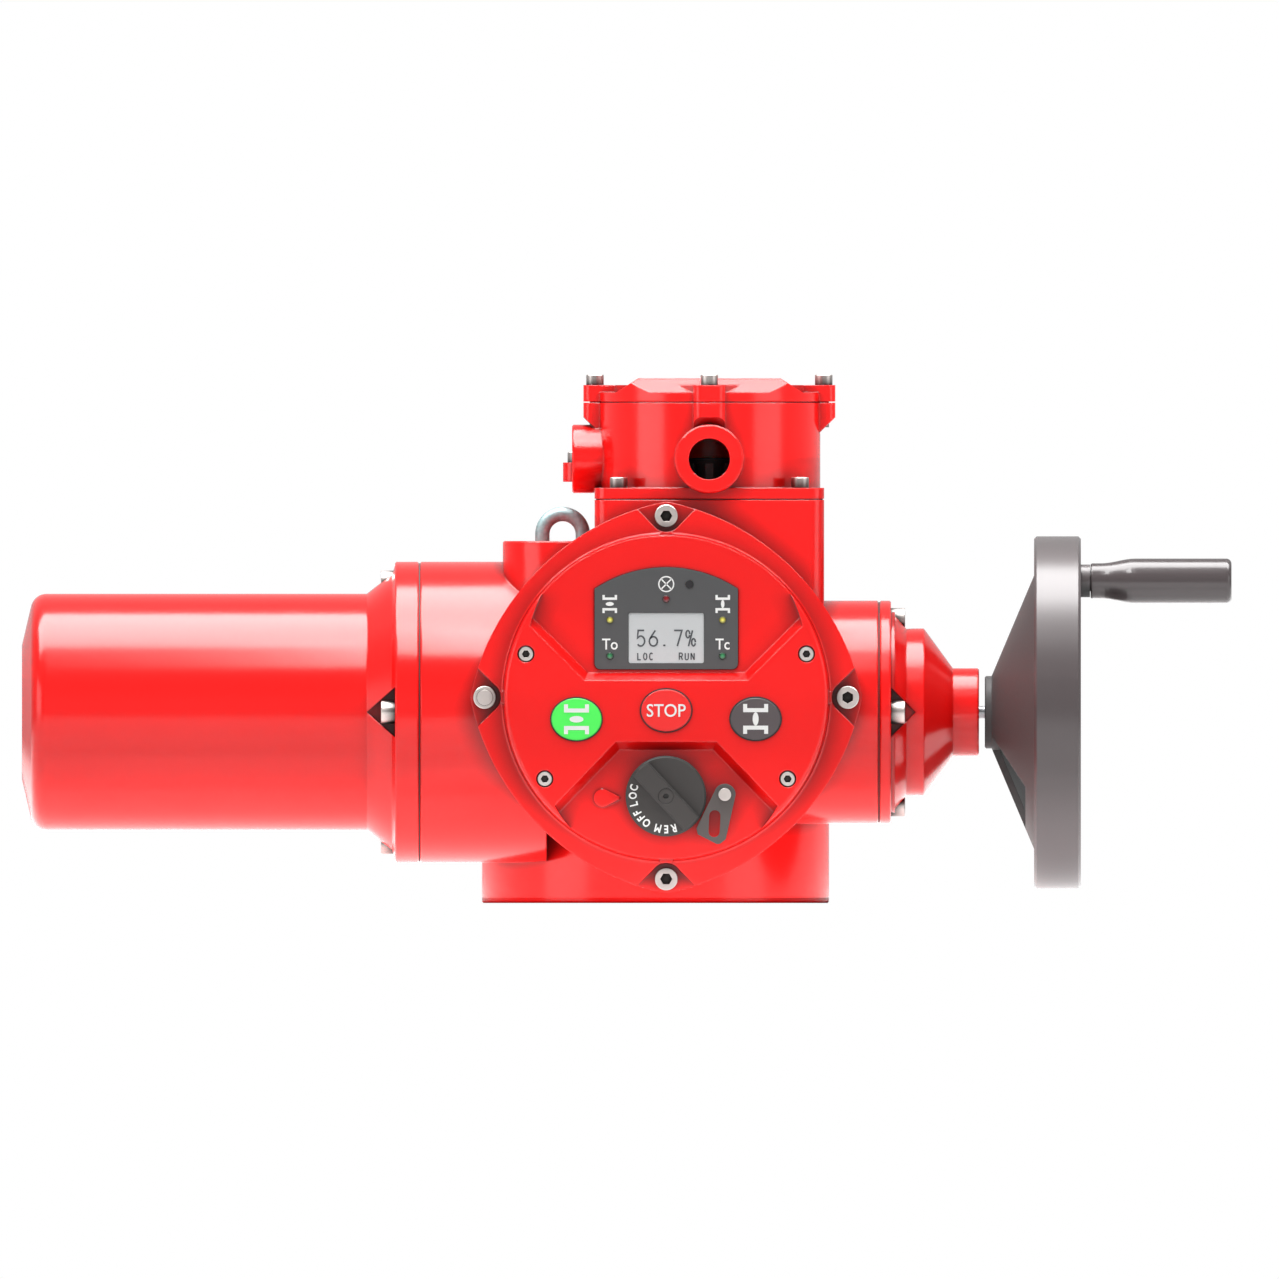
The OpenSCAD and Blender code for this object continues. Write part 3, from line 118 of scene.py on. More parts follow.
# %% Wires
class Wire:
    """One output of a shader node, ready to be used in a sum."""

    def __init__(self, tree, socket=None):
        self.tree = tree
        self.socket = socket

    def node(self, kind, settings=None, sockets=None, output=0):
        made = self.tree.nodes.new("ShaderNode" + kind)
        for name, value in (settings or {}).items():
            setattr(made, name, value)
        for name, value in (sockets or {}).items():
            self.feed(made.inputs[name], value)
        return Wire(self.tree, made.outputs[output])

    def feed(self, socket, value):
        if isinstance(value, Wire):
            self.tree.links.new(value.socket, socket)
        else:
            socket.default_value = value

    def also(self, output):
        """Another output of the same node."""
        return Wire(self.tree, self.socket.node.outputs[output])

    def maths(self, operation, first, second):
        return self.node("Math", {"operation": operation}, {0: first, 1: second})

    def __add__(self, other):
        return self.maths("ADD", self, other)

    __radd__ = __add__

    def __sub__(self, other):
        return self.maths("SUBTRACT", self, other)

    def __rsub__(self, other):
        return self.maths("SUBTRACT", other, self)

    def __mul__(self, other):
        return self.maths("MULTIPLY", self, other)

    __rmul__ = __mul__

    def __pow__(self, power):
        return self.maths("POWER", self, power)


def blend(factor, low, high):
    """A colour that goes from low to high as factor goes from 0 to 1."""
    return factor.node("Mix", {"data_type": "RGBA"}, {0: factor, 6: low, 7: high}, output=2)


def noise(where, scale, detail=2.0):
    return where.node("TexNoise", None, {"Vector": where, "Scale": scale, "Detail": detail})


def stretched(where, x, y, z):
    return where.node("VectorMath", {"operation": "MULTIPLY"}, {0: where, 1: (x, y, z)})


print("shader sums are ready")

# %% [markdown]
# ## Colours and edges
#
# Screens store colours with a curve, and light adds up without one, so a colour read off a picture is
# turned into its linear value first.
#
# No real casting has a knife edge. The model's edges are sharp, and bevelling 57 meshes would change them.
# The Bevel node rounds only the shading: it bends the normal near an edge, and the edge then catches the
# light as the real one does.

# %% Colours and edges
def colour(red, green, blue):
    """A linear colour from the 0 to 255 values of a picture."""
    def linear(value):
        part = value / 255
        return part / 12.92 if part <= 0.04045 else ((part + 0.055) / 1.055) ** 2.4
    return (linear(red), linear(green), linear(blue), 1.0)


def grey(level):
    return (level, level, level, 1.0)


def times(tone, share):
    """A colour made darker by this share, or lighter up to white."""
    return tuple(min(v * share, 1.0) for v in tone[:3]) + (1.0,)


def finish(name, **constants):
    """A new material, its shader and the object coordinates that its patterns use."""
    material = bpy.data.materials.new(name)
    material.use_nodes = True
    shader = material.node_tree.nodes["Principled BSDF"]
    for socket, value in constants.items():
        shader.inputs[socket.replace("_", " ")].default_value = value
    where = Wire(material.node_tree).node("TexCoord", output="Object")
    return material, shader, where


def soft_edge(where, radius, height, depth):
    """A normal that rounds edges and carries the fine relief of the finish."""
    rounded = where.node("Bevel", {"samples": 6}, {"Radius": radius})
    relief = {"Strength": 1.0, "Distance": depth, "Height": height, "Normal": rounded}
    return where.node("Bump", None, relief)


def crevices(where, reach):
    """Near 1 on open faces and near 0 deep in corners and sockets; the finishes paint shade with it."""
    return where.node("AmbientOcclusion", {"samples": 8}, {"Distance": reach}, output="AO")


print("pure white is", colour(255, 255, 255))

# %% [markdown]
# ## Red paint on cast iron
#
# The castings carry a thick gloss coat, sprayed on. Two things give such a coat away: long soft waves from
# the casting below, and the fine dimples of spray that painters call orange peel. A flat colour with a low
# roughness would look like plastic, so both go into the bump, and the peel also blurs the gloss a little.
# The recesses of the photograph go brown where little light gets in, so a wide crevice mask paints that
# shade into the colour. The foot of the column is no recess, so the painted shade is lifted where the casting
# meets the floor.

# %% Red paint
FOOT_RISE = 14 * MM
RECESS_REACH = 13 * MM
PAINTED_EDGE = 1.3 * MM
PAINT_RELIEF = 0.04 * MM
RED_IN_PAINTED_SHADE = (0.15, 0.005, 0.005, 1.0)
RED_THIN = (0.95, 0.004, 0.0035, 1.0)
RED_THICK = (1.0, 0.007, 0.006, 1.0)


def red_paint():
    material, shader, where = finish("red_paint", IOR=1.5, Specular_IOR_Level=0.36)
    peel = noise(where, 620, 1)
    swell = noise(where, 26, 3)
    up = where.node("SeparateXYZ", None, {"Vector": where}, output="Z")
    at_foot = where.maths("MAXIMUM", 1.0 - up * (1 / FOOT_RISE), 0.0)
    light_reach = crevices(where, RECESS_REACH) ** 1.7 + at_foot
    fresh = blend(swell, RED_THIN, RED_THICK)
    # Painted shade: the colour darkens to a brownish red where the occlusion mask finds a recess.
    where.feed(shader.inputs["Base Color"], blend(light_reach, RED_IN_PAINTED_SHADE, fresh))
    where.feed(shader.inputs["Roughness"], 0.15 + 0.07 * peel)
    where.feed(shader.inputs["Normal"], soft_edge(where, PAINTED_EDGE, 0.12 * peel + swell, PAINT_RELIEF))
    return material


print("shader parts for painted castings are ready")

# %% [markdown]
# ## Coated iron and moulded plastic
#
# The handwheel has a dark satin coat with a sandy touch, and the grip, knob and lever are moulded plastic
# with an eroded grain. Both are a dark colour that wanders a little, a middling roughness and a fine bump,
# with painted shade that darkens their corners. One function with a grain size covers them all, so the
# difference between them stays readable. The web of the handwheel is dull and its rim is glossier, so a clear
# coat starts at a radius. The web's lighter, neutral grey is painted light that offsets the red light the
# painted cover beside it throws on it.

# %% Satin surfaces
CORNER_REACH = 1.5 * MM
POLISHED_R = 88 * MM
POLISH_FADE = 6 * MM


def satin(name, tone, spread, roughness, grain_scale, depth, edge=0.6):
    """A satin finish whose colour wanders from darker to lighter by spread."""
    material, shader, where = finish(name, IOR=1.48)
    grain = noise(where, grain_scale, 2)
    patches = noise(where, grain_scale / 40, 2)
    satin_colour = blend(0.5 * grain + 0.5 * patches, times(tone, 1 - spread), times(tone, 1 + spread))
    light_reach = crevices(where, CORNER_REACH)
    # Painted shade: corners darken to a third of the tone.
    where.feed(shader.inputs["Base Color"], blend(light_reach, times(tone, 0.35), satin_colour))
    where.feed(shader.inputs["Roughness"], roughness + 0.12 * grain)
    where.feed(shader.inputs["Normal"], soft_edge(where, edge * MM, grain, depth * MM))
    return material


def wheel_coat(tone, web_tone_with_painted_light):
    """A dull web and, outside a radius, a rim that hands have polished."""
    material = satin("wheel_coat", tone, 0.06, 0.45, 900, 0.006, edge=1.0)
    shader = material.node_tree.nodes["Principled BSDF"]
    shader.inputs["Specular IOR Level"].default_value = 0.10
    shader.inputs["Coat Roughness"].default_value = 0.25
    where = Wire(material.node_tree).node("TexCoord", output="Object")
    axis = tuple(middle("handwheel"))
    from_axis = where.node("VectorMath", {"operation": "SUBTRACT"}, {0: where, 1: axis})
    across = stretched(from_axis, 0, 1, 1)
    radius = across.node("VectorMath", {"operation": "LENGTH"}, {0: across}, output="Value")
    fade = {"Value": radius, "From Min": POLISHED_R, "From Max": POLISHED_R + POLISH_FADE}
    polished = where.node("MapRange", {"clamp": True}, fade)
    # The satin colour here already holds the painted corner shade.
    satin_colour = Wire(material.node_tree, shader.inputs["Base Color"].links[0].from_socket)
    # Painted light: inside the rim radius the web takes a lighter, neutral grey that offsets the red light
    # thrown on it.
    where.feed(shader.inputs["Base Color"], blend(polished, web_tone_with_painted_light, satin_colour))
    where.feed(shader.inputs["Coat Weight"], 0.8 * polished)
    return material


print("shader parts for satin surfaces are ready")

# %% [markdown]
# ## Plated, turned and cast metal
#
# Zinc-plated screws are bright, slightly warm and a little cloudy, and their sockets look black because
# hardly any light finds its way out again. An ambient occlusion mask stands for that. Turned shafts show
# fine rings, which come from noise that is squeezed along the shaft. The lifting eye is hot-dip galvanised:
# a Voronoi pattern gives its crystals.

# %% Metals
SOCKET_REACH = 7 * MM
SOCKET_SHADE = (0.004, 0.003, 0.003, 1.0)


def plated(name, tone, roughness):
    """Cloudy zinc, with painted shade that goes black down in a socket."""
    material, shader, where = finish(name, Metallic=1.0)
    cloud = noise(where, 260, 3)
    light_reach = crevices(where, SOCKET_REACH) ** 3.2
    bright = blend(cloud, times(tone, 0.86), tone)
    # Painted shade: the zinc goes black where the occlusion mask finds a socket.
    where.feed(shader.inputs["Base Color"], blend(light_reach, SOCKET_SHADE, bright))
    where.feed(shader.inputs["Roughness"], roughness + 0.12 * cloud)
    where.feed(shader.inputs["Normal"], soft_edge(where, 0.5 * MM, cloud, 0.01 * MM))
    return material


def turned(name, tone, roughness, along):
    """Lathe rings: the noise varies quickly only in the direction of along."""
    material, shader, where = finish(name, Metallic=1.0)
    rings = noise(stretched(where, *along), 1.0, 3)
    stain = noise(where, 60, 2)
    where.feed(shader.inputs["Base Color"], blend(stain, times(tone, 0.8), tone))
    where.feed(shader.inputs["Roughness"], roughness + 0.15 * rings)
    where.feed(shader.inputs["Normal"], soft_edge(where, 0.4 * MM, rings, 0.01 * MM))
    return material


def galvanised(name, tone):
    """Grey zinc with the crystals of a hot bath."""
    material, shader, where = finish(name)
    crystals = where.node("TexVoronoi", None, {"Vector": where, "Scale": 420.0})
    pits = noise(where, 900, 3)
    where.feed(shader.inputs["Base Color"], blend(crystals, tone, times(tone, 0.72)))
    where.feed(shader.inputs["Metallic"], 0.12 + 0.3 * crystals)
    where.feed(shader.inputs["Roughness"], 0.34 + 0.2 * pits)
    where.feed(shader.inputs["Normal"], soft_edge(where, 0.5 * MM, pits + crystals, 0.05 * MM))
    return material


print("shader parts for metals are ready")

# %% [markdown]
# ## Rubber, boards, windings and the screen
#
# The inner pieces are seldom seen, but an open cover shows them, so they get real finishes too: rubber with
# a dusty bloom, a lacquered board with its copper traces, wound copper wire, and a screen behind glass with
# its grid of dots.

# %% Rubber and electrics
def rubber(name, tone):
    material, shader, where = finish(name, IOR=1.45)
    bloom = noise(where, 90, 4)
    where.feed(shader.inputs["Base Color"], blend(bloom, tone, times(tone, 2.2)))
    where.feed(shader.inputs["Roughness"], 0.6 + 0.25 * bloom)
    where.feed(shader.inputs["Normal"], soft_edge(where, 0.3 * MM, bloom, 0.02 * MM))
    return material


def lacquered_board(name, lacquer, copper):
    material, shader, where = finish(name, Coat_Roughness=0.2)
    grid = {"Vector": where, "Scale": 160.0, "Mortar Size": 0.035}
    tracks = where.node("TexBrick", None, grid, output="Fac")
    where.feed(shader.inputs["Base Color"], blend(tracks, lacquer, copper))
    where.feed(shader.inputs["Roughness"], 0.32 + 0.1 * noise(where, 300))
    where.feed(shader.inputs["Normal"], soft_edge(where, 0.3 * MM, tracks, 0.04 * MM))
    return material


def wound_wire(name, tone):
    material, shader, where = finish(name, Metallic=1.0)
    bands = {"Vector": where, "Scale": 330.0, "Distortion": 0.6}
    wires = where.node("TexWave", {"bands_direction": "X"}, bands)
    where.feed(shader.inputs["Base Color"], blend(wires, times(tone, 0.4), tone))
    where.feed(shader.inputs["Roughness"], 0.3 + 0.1 * wires)
    where.feed(shader.inputs["Normal"], soft_edge(where, 0.5 * MM, wires, 0.3 * MM))
    return material


def screen_glass(name, tone):
    """A pale screen with the fine grid between its dots."""
    material, shader, where = finish(name, IOR=1.5)
    square = {"Brick Width": 1.0, "Row Height": 1.0}
    grid = {"Vector": turned_to_front(where), "Scale": 2400.0, "Mortar Size": 0.06, **square}
    dots = where.node("TexBrick", {"offset": 0.0}, grid, output="Fac")
    where.feed(shader.inputs["Base Color"], blend(0.2 * dots, tone, times(tone, 0.8)))
    where.feed(shader.inputs["Roughness"], 0.16 + 0.06 * noise(where, 200))
    where.feed(shader.inputs["Normal"], soft_edge(where, 0.3 * MM, dots, 0.003 * MM))
    return material


def turned_to_front(where):
    """Object coordinates with X and Z as the first two, for a flat pattern on a face that looks along -Y."""
    across = where.node("SeparateXYZ", None, {"Vector": where}, output="X")
    return where.node("CombineXYZ", None, {"X": across, "Y": across.also("Z")})


print("shader parts for rubber, boards, windings and glass are ready")

# %% [markdown]
# ## Lamps and keys
#
# A signal lamp is a small coloured lens. Its colour is painted light and shade: dark at its rim, where the
# bezel shades it, and bright at its crown, and the lens glows faintly in the same colours. How far a point
# stands forward tells crown from rim, so the object's own Y coordinate drives the colour.

# %% Lamp lenses
LENS_RISE = 0.9 * MM


def lens(name, crown, rim, glow):
    """A lens that is crown-coloured at its top and rim-coloured where it meets the panel."""
    material, shader, where = finish(name, IOR=1.5, Roughness=0.12, Emission_Strength=glow)
    away = where.node("SeparateXYZ", None, {"Vector": where}, output="Y")
    height = (panel_y - away) * (1 / LENS_RISE)
    # Painted light and shade: light at the crown and dark at the rim, by height above the panel.
    lit = blend(height ** 9.0, rim, crown)
    where.feed(shader.inputs["Base Color"], lit)
    where.feed(shader.inputs["Emission Color"], lit)
    where.feed(shader.inputs["Normal"], soft_edge(where, 0.2 * MM, noise(where, 500), 0.005 * MM))
    return material


print("shader parts for lamps are ready")

# %% [markdown]
# ## One finish for each slot
#
# The record lists which node belongs to which material slot, such as all painted castings or all plated
# screws. Making one material for each slot and handing it out by that list means that no node is forgotten
# and that a repaint later needs one change.

# %% Hand out the finishes
STEEL = colour(188, 180, 176)
SHAFT_RINGS = (1800.0, 40.0, 40.0)

finishes = {
    "red_paint": red_paint(),
    "wheel_coat": wheel_coat(colour(80, 72, 73), colour(90, 90, 90)),
    "grip_plastic": satin("grip_plastic", colour(80, 72, 73), 0.03, 0.15, 1100, 0.003, edge=1.0),
    "zinc_steel": plated("zinc_steel", STEEL, 0.30),
    "bearing_steel": plated("bearing_steel", colour(190, 192, 196), 0.18),
    "turned_steel": turned("turned_steel", colour(180, 180, 183), 0.25, SHAFT_RINGS),
    "bronze": turned("bronze", colour(205, 160, 88), 0.28, SHAFT_RINGS),
    "copper": wound_wire("copper", colour(205, 120, 70)),
    "seal_rubber": rubber("seal_rubber", colour(28, 26, 26)),
    "panel_grey": satin("panel_grey", colour(68, 68, 69), 0.04, 0.38, 1600, 0.006, edge=0.3),
    "lcd_glass": screen_glass("lcd_glass", colour(200, 203, 204)),
    "led_yellow": lens("led_yellow", colour(236, 226, 96), colour(84, 80, 14), 0.25),
    "led_green": lens("led_green", colour(60, 150, 95), colour(6, 44, 24), 0.1),
    "led_red": lens("led_red", colour(150, 12, 26), colour(70, 8, 12), 0.1),
    "ir_black": satin("ir_black", colour(38, 36, 38), 0.05, 0.12, 800, 0.004, edge=0.3),
    "button_green": satin("button_green", colour(78, 250, 92), 0.03, 0.30, 1500, 0.006),
    "button_red": satin("button_red", (0.93, 0.013, 0.012, 1.0), 0.02, 0.26, 1500, 0.006),
    "button_grey": satin("button_grey", colour(80, 71, 73), 0.05, 0.30, 1500, 0.006),
    "knob_plastic": satin("knob_plastic", colour(46, 42, 40), 0.06, 0.34, 1300, 0.012),
    "lever_plastic": satin("lever_plastic", colour(74, 67, 65), 0.05, 0.32, 1300, 0.01),
    "circuit_board": lacquered_board("circuit_board", colour(20, 92, 48), colour(150, 110, 60)),
    "frame_plastic": satin("frame_plastic", colour(190, 190, 187), 0.04, 0.45, 900, 0.01),
    "black_plastic": satin("black_plastic", colour(34, 34, 36), 0.06, 0.42, 900, 0.01),
    "cast_grey": galvanised("cast_grey", colour(148, 178, 180)),
}

for subpart in frame["record"]["subparts"]:
    cad_object = frame["nodes"][subpart["node"]]
    cad_object.data.materials.clear()
    cad_object.data.materials.append(finishes[subpart["material_slot"]])

# %% [markdown]
# ## Printing tools
#
# The white signs, the letters and the figures on the screen are thin layers of ink or plastic. A texture
# would blur up close, so each is a real plate a tenth of a millimetre thick. Everything is drawn flat, with
# X to the right and Y up, and then stood up on a face of the control unit.

# %% Flat plates
INK = 0.12 * MM


def on_face(dx, dz, face_y, turn=0.0):
    """Stands a flat drawing up at dx, dz from the cover's middle, on a face that looks at the camera."""
    place = Matrix.Translation((cover_middle.x + dx, face_y, cover_middle.z + dz))
    return place @ Matrix.Rotation(math.radians(90), 4, "X") @ Matrix.Rotation(math.radians(turn), 4, "Z")


def on_node(node, face_y):
    """The same for a drawing that is centred on a node."""
    centre = middle(node)
    return on_face(centre.x - cover_middle.x, centre.z - cover_middle.z, face_y)


def add_plate(bm, outline, place, thick=INK):
    """Adds a closed plate with this outline."""
    back = [bm.verts.new(place @ Vector((x, y, 0))) for x, y in outline]
    front = [bm.verts.new(place @ Vector((x, y, thick))) for x, y in outline]
    bm.faces.new(front)
    bm.faces.new(list(reversed(back)))
    for i in range(len(outline)):
        j = (i + 1) % len(outline)
        bm.faces.new((back[i], back[j], front[j], front[i]))


def add_ring(bm, outer, inner, place, thick=INK):
    """Adds a closed plate between two outlines of as many points."""
    loops = [[bm.verts.new(place @ Vector((x, y, z))) for x, y in points]
             for points, z in ((outer, 0), (outer, thick), (inner, thick), (inner, 0))]
    for k in range(len(loops)):
        one, two = loops[k], loops[(k + 1) % len(loops)]
        for i in range(len(outer)):
            j = (i + 1) % len(outer)
            bm.faces.new((one[i], one[j], two[j], two[i]))


def ellipse(half_width, half_height, steps=40, start=0.0, end=360.0):
    """Points on an ellipse round the origin; a full turn leaves out the repeated last point."""
    count = steps if end - start == 360.0 else steps + 1
    angles = [math.radians(start + (end - start) * i / steps) for i in range(count)]
    return [(half_width * math.cos(a), half_height * math.sin(a)) for a in angles]


def new_piece(name, bm, material, body):
    """Turns a bmesh into an object that has a finish and rides on a body."""
    bmesh.ops.recalc_face_normals(bm, faces=bm.faces)
    mesh = bpy.data.meshes.new(name)
    bm.to_mesh(mesh)
    bm.free()
    mesh.materials.append(material)
    piece = bpy.data.objects.new(name, mesh)
    bpy.context.scene.collection.objects.link(piece)
    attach(piece, body)
    print(name, "has", len(mesh.polygons), "faces and rides on", body)
    return piece


white_print = satin("white_print", colour(238, 238, 236), 0.02, 0.4, 1500, 0.003, edge=0.05)
screen_ink = satin("screen_ink", colour(74, 76, 80), 0.03, 0.3, 1500, 0.003, edge=0.05)

# %% [markdown]
# ## Letters
#
# A text object turned into a mesh gives the upright letters of the panel and the buttons. The screen is
# different: its figures are drawn with a thin pen of one width, so they are strokes. A stroke is a path
# given a width on both sides, with its corners mitred.

# %% Text and strokes
HALF_UNIT = 0.5
SHARPEST_MITRE = 0.5
WELD = 0.002 * MM


def text_mesh(words, height, narrow=1.0, bold=0.0):
    """Words as a thin mesh with letters of this height, centred on the origin."""
    curve = bpy.data.curves.new("words", "FONT")
    curve.body = words
    curve.resolution_u = 4
    curve.offset = bold
    curve.extrude = HALF_UNIT
    holder = bpy.data.objects.new("words", curve)
    bpy.context.scene.collection.objects.link(holder)
    bpy.context.view_layer.update()
    mesh = bpy.data.meshes.new_from_object(holder.evaluated_get(bpy.context.evaluated_depsgraph_get()))
    bpy.data.objects.remove(holder)
    bpy.data.curves.remove(curve)
    across = [v.co.x for v in mesh.vertices]
    up = [v.co.y for v in mesh.vertices]
    grow = height / (max(up) - min(up))
    centre = Vector(((min(across) + max(across)) / 2, (min(up) + max(up)) / 2, -HALF_UNIT))
    mesh.transform(Matrix.Diagonal((grow * narrow, grow, INK, 1)) @ Matrix.Translation(-centre))
    return mesh


def add_text(bm, mesh, place):
    """Adds a text mesh and welds its letters shut."""
    mesh.transform(place)
    bm.from_mesh(mesh)
    bpy.data.meshes.remove(mesh)
    bmesh.ops.remove_doubles(bm, verts=bm.verts, dist=WELD)


def stroke(path, width):
    """The outline of a pen of this width drawn along an open path."""
    points = [Vector(p) for p in path]
    sides = ([], [])
    for i, point in enumerate(points):
        before = (point - points[i - 1]).normalized() if i else None
        after = (points[i + 1] - point).normalized() if i + 1 < len(points) else None
        one, two = before or after, after or before
        along = (one + two).normalized()
        normal = Vector((-along.y, along.x))
        reach = width / 2 / max(normal.dot(Vector((-one.y, one.x))), SHARPEST_MITRE)
        sides[0].append(point - normal * reach)
        sides[1].append(point + normal * reach)
    return [tuple(p) for p in sides[0] + sides[1][::-1]]


print("letters are ready")

# %% [markdown]
# ## The valve signs
#
# A pipe seen from the side, with two flanged walls and a valve disc between them: lying along the flow it
# says open, standing across it says closed. The same sign is on the panel and on two buttons, so it is one
# function of its width and height.

# %% Valve sign
LEG_SHARE = 0.16
WALL_FROM, WALL_TO = 0.45, 0.72
LYING_DISC = (0.28, 0.11)
STANDING_DISC = (0.12, 0.225)


def add_valve_sign(bm, width, height, is_open, place):
    """Two flanged walls and a disc; the shares are of the sign's width and height."""
    half_w, half_h = width / 2, height / 2
    leg = width * LEG_SHARE
    wall_top, wall_bottom = half_h * WALL_TO, half_h * WALL_FROM
    for side in (1, -1):
        outline = [
            (-half_w, side * half_h), (-half_w, side * wall_bottom), (half_w, side * wall_bottom),
            (half_w, side * half_h), (half_w - leg, side * half_h), (half_w - leg, side * wall_top),
            (leg - half_w, side * wall_top), (leg - half_w, side * half_h),
        ]
        add_plate(bm, outline if side > 0 else outline[::-1], place)
    across, up = LYING_DISC if is_open else STANDING_DISC
    add_plate(bm, ellipse(width * across, height * up, steps=20), place)


ICON_SIZE = (8.3 * MM, 10.3 * MM)
KEY_SIGN_SIZE = (14.2 * MM, 17.0 * MM)
ICON_AT = (32.1 * MM, 53.1 * MM)
print("panel icons are", ICON_SIZE, "and key signs", KEY_SIGN_SIZE)

# %% [markdown]
# ## Print on the panel
#
# Beside the screen stand the two valve signs, and To and Tc for the torque in each direction. Over the
# fault lamp goes the plain drawing sign for a lamp, a circle with a cross.

# %% Panel print
TORQUE_WORDS_AT = (32.0 * MM, 30.3 * MM)
TORQUE_WORD_HEIGHT = 6.3 * MM
LAMP_SIGN_AT = (0.0, 64.4 * MM)
LAMP_SIGN_R = 4.6 * MM
LINE = 0.75 * MM

panel_print = bmesh.new()
for side, is_open in ((-1, True), (1, False)):
    add_valve_sign(panel_print, *ICON_SIZE, is_open, on_face(side * ICON_AT[0], ICON_AT[1], panel_y))
for side, words in ((-1, "To"), (1, "Tc")):
    at = on_face(side * TORQUE_WORDS_AT[0], TORQUE_WORDS_AT[1], panel_y)
    add_text(panel_print, text_mesh(words, TORQUE_WORD_HEIGHT, narrow=0.9, bold=0.012), at)
lamp_sign = on_face(*LAMP_SIGN_AT, panel_y)
inner_r = LAMP_SIGN_R - LINE
add_ring(panel_print, ellipse(LAMP_SIGN_R, LAMP_SIGN_R), ellipse(inner_r, inner_r), lamp_sign)
half = LINE / 2
tip = LAMP_SIGN_R - LINE * 0.6
for turn in (45, 135, 225, 315):
    arm = [(half, -half), (tip, -half), (tip, half), (half, half)]
    add_plate(panel_print, arm, lamp_sign @ Matrix.Rotation(math.radians(turn), 4, "Z"))
new_piece("panel_print", panel_print, white_print, "housing")

# %% [markdown]
# ## Figures on the screen
#
# The position of the valve in percent, and below it the mode and the state. Each character is a handful of
# paths in a box one unit high, and round parts are pieces of an ellipse.

# %% Screen characters
BOW_STEPS = 14


def bow(cx, cy, half_width, half_height, start, end):
    """Points along a piece of an ellipse, from one angle to another."""
    turn = end - start
    angles = [math.radians(start + turn * i / BOW_STEPS) for i in range(BOW_STEPS + 1)]
    return [(cx + half_width * math.cos(a), cy + half_height * math.sin(a)) for a in angles]


CHARACTERS = {
    "5": [[(0.50, 1.0), (0.12, 1.0), (0.07, 0.50)] + bow(0.28, 0.32, 0.25, 0.32, 112, -140)],
    "6": [[(0.42, 1.0), (0.20, 0.68)] + bow(0.29, 0.30, 0.26, 0.30, 155, 500)],
    ".": [[(0.12, 0.045), (0.26, 0.045)]],
    "7": [[(0.02, 1.0), (0.52, 1.0), (0.22, 0.0)]],
    "%": [[(0.40, 1.0), (0.14, 0.0)], bow(0.10, 0.76, 0.12, 0.23, 0, 345),
          bow(0.46, 0.24, 0.12, 0.23, 0, 345)],
    "L": [[(0.06, 1.0), (0.06, 0.0), (0.52, 0.0)]],
    "O": [bow(0.29, 0.5, 0.24, 0.5, 90, 435)],
    "C": [bow(0.31, 0.5, 0.25, 0.5, 42, 318)],
    "R": [[(0.06, 0.0), (0.06, 1.0), (0.30, 1.0)] + bow(0.32, 0.75, 0.2, 0.25, 90, -90) + [(0.10, 0.5)],
          [(0.30, 0.5), (0.54, 0.0)]],
    "U": [[(0.06, 1.0), (0.06, 0.3)] + bow(0.29, 0.25, 0.23, 0.25, 190, 350) + [(0.52, 0.3), (0.52, 1.0)]],
    "N": [[(0.06, 0.0), (0.06, 1.0)], [(0.06, 1.0), (0.52, 0.0)], [(0.52, 0.0), (0.52, 1.0)]],
}


# Height, pitch and pen width of the two sizes, and the base line of the small one
LARGE = (8.9 * MM, 7.1 * MM, 0.95 * MM)
SMALL = (3.8 * MM, 3.35 * MM, 0.72 * MM)
SMALL_LINE = 21.4 * MM


def add_screen_text(bm, words, left, bottom, height, pitch, pen):
    """Adds words whose first character stands at left and bottom."""
    for i, letter in enumerate(words):
        for path in CHARACTERS[letter]:
            scaled = [(x * height, y * height) for x, y in path]
            place = on_face(left + i * pitch, bottom, screen_y)
            add_plate(bm, stroke(scaled, pen), place)


screen_text = bmesh.new()
add_screen_text(screen_text, "56.7%", -17.0 * MM, 29.2 * MM, *LARGE)
add_screen_text(screen_text, "LOC", -16.4 * MM, SMALL_LINE, *SMALL)
add_screen_text(screen_text, "RUN", 7.2 * MM, SMALL_LINE, *SMALL)
new_piece("screen_figures", screen_text, screen_ink, "housing")

# %% [markdown]
# ## Lenses of the lamps
#
# Each lamp ends in a small dome. A dome is a circle lifted by a quarter ellipse, ring by ring, and closed
# at its crown.

# %% Lamp domes
LAMP_R = 2.0 * MM
LAMP_PLAY = 0.05 * MM
DOME_RINGS = 6
DOME_STEPS = 28
LAMPS_ASIDE = 32 * MM
POSITION_LAMPS_UP = 44 * MM
TORQUE_LAMPS_UP = 23.6 * MM
FAULT_LAMP_UP = 56 * MM


def add_dome(bm, radius, rise, place):
    below = [bm.verts.new(place @ Vector((x, y, 0))) for x, y in ellipse(radius, radius, DOME_STEPS)]
    bm.faces.new(list(reversed(below)))
    for ring in range(1, DOME_RINGS):
        angle = math.radians(90 * ring / DOME_RINGS)
        r, z = radius * math.cos(angle), rise * math.sin(angle)
        loop = [bm.verts.new(place @ Vector((x, y, z))) for x, y in ellipse(r, r, DOME_STEPS)]
        for i in range(DOME_STEPS):
            j = (i + 1) % DOME_STEPS
            bm.faces.new((below[i], below[j], loop[j], loop[i]))
        below = loop
    crown = bm.verts.new(place @ Vector((0, 0, rise)))
    for i in range(DOME_STEPS):
        bm.faces.new((below[i], below[(i + 1) % DOME_STEPS], crown))


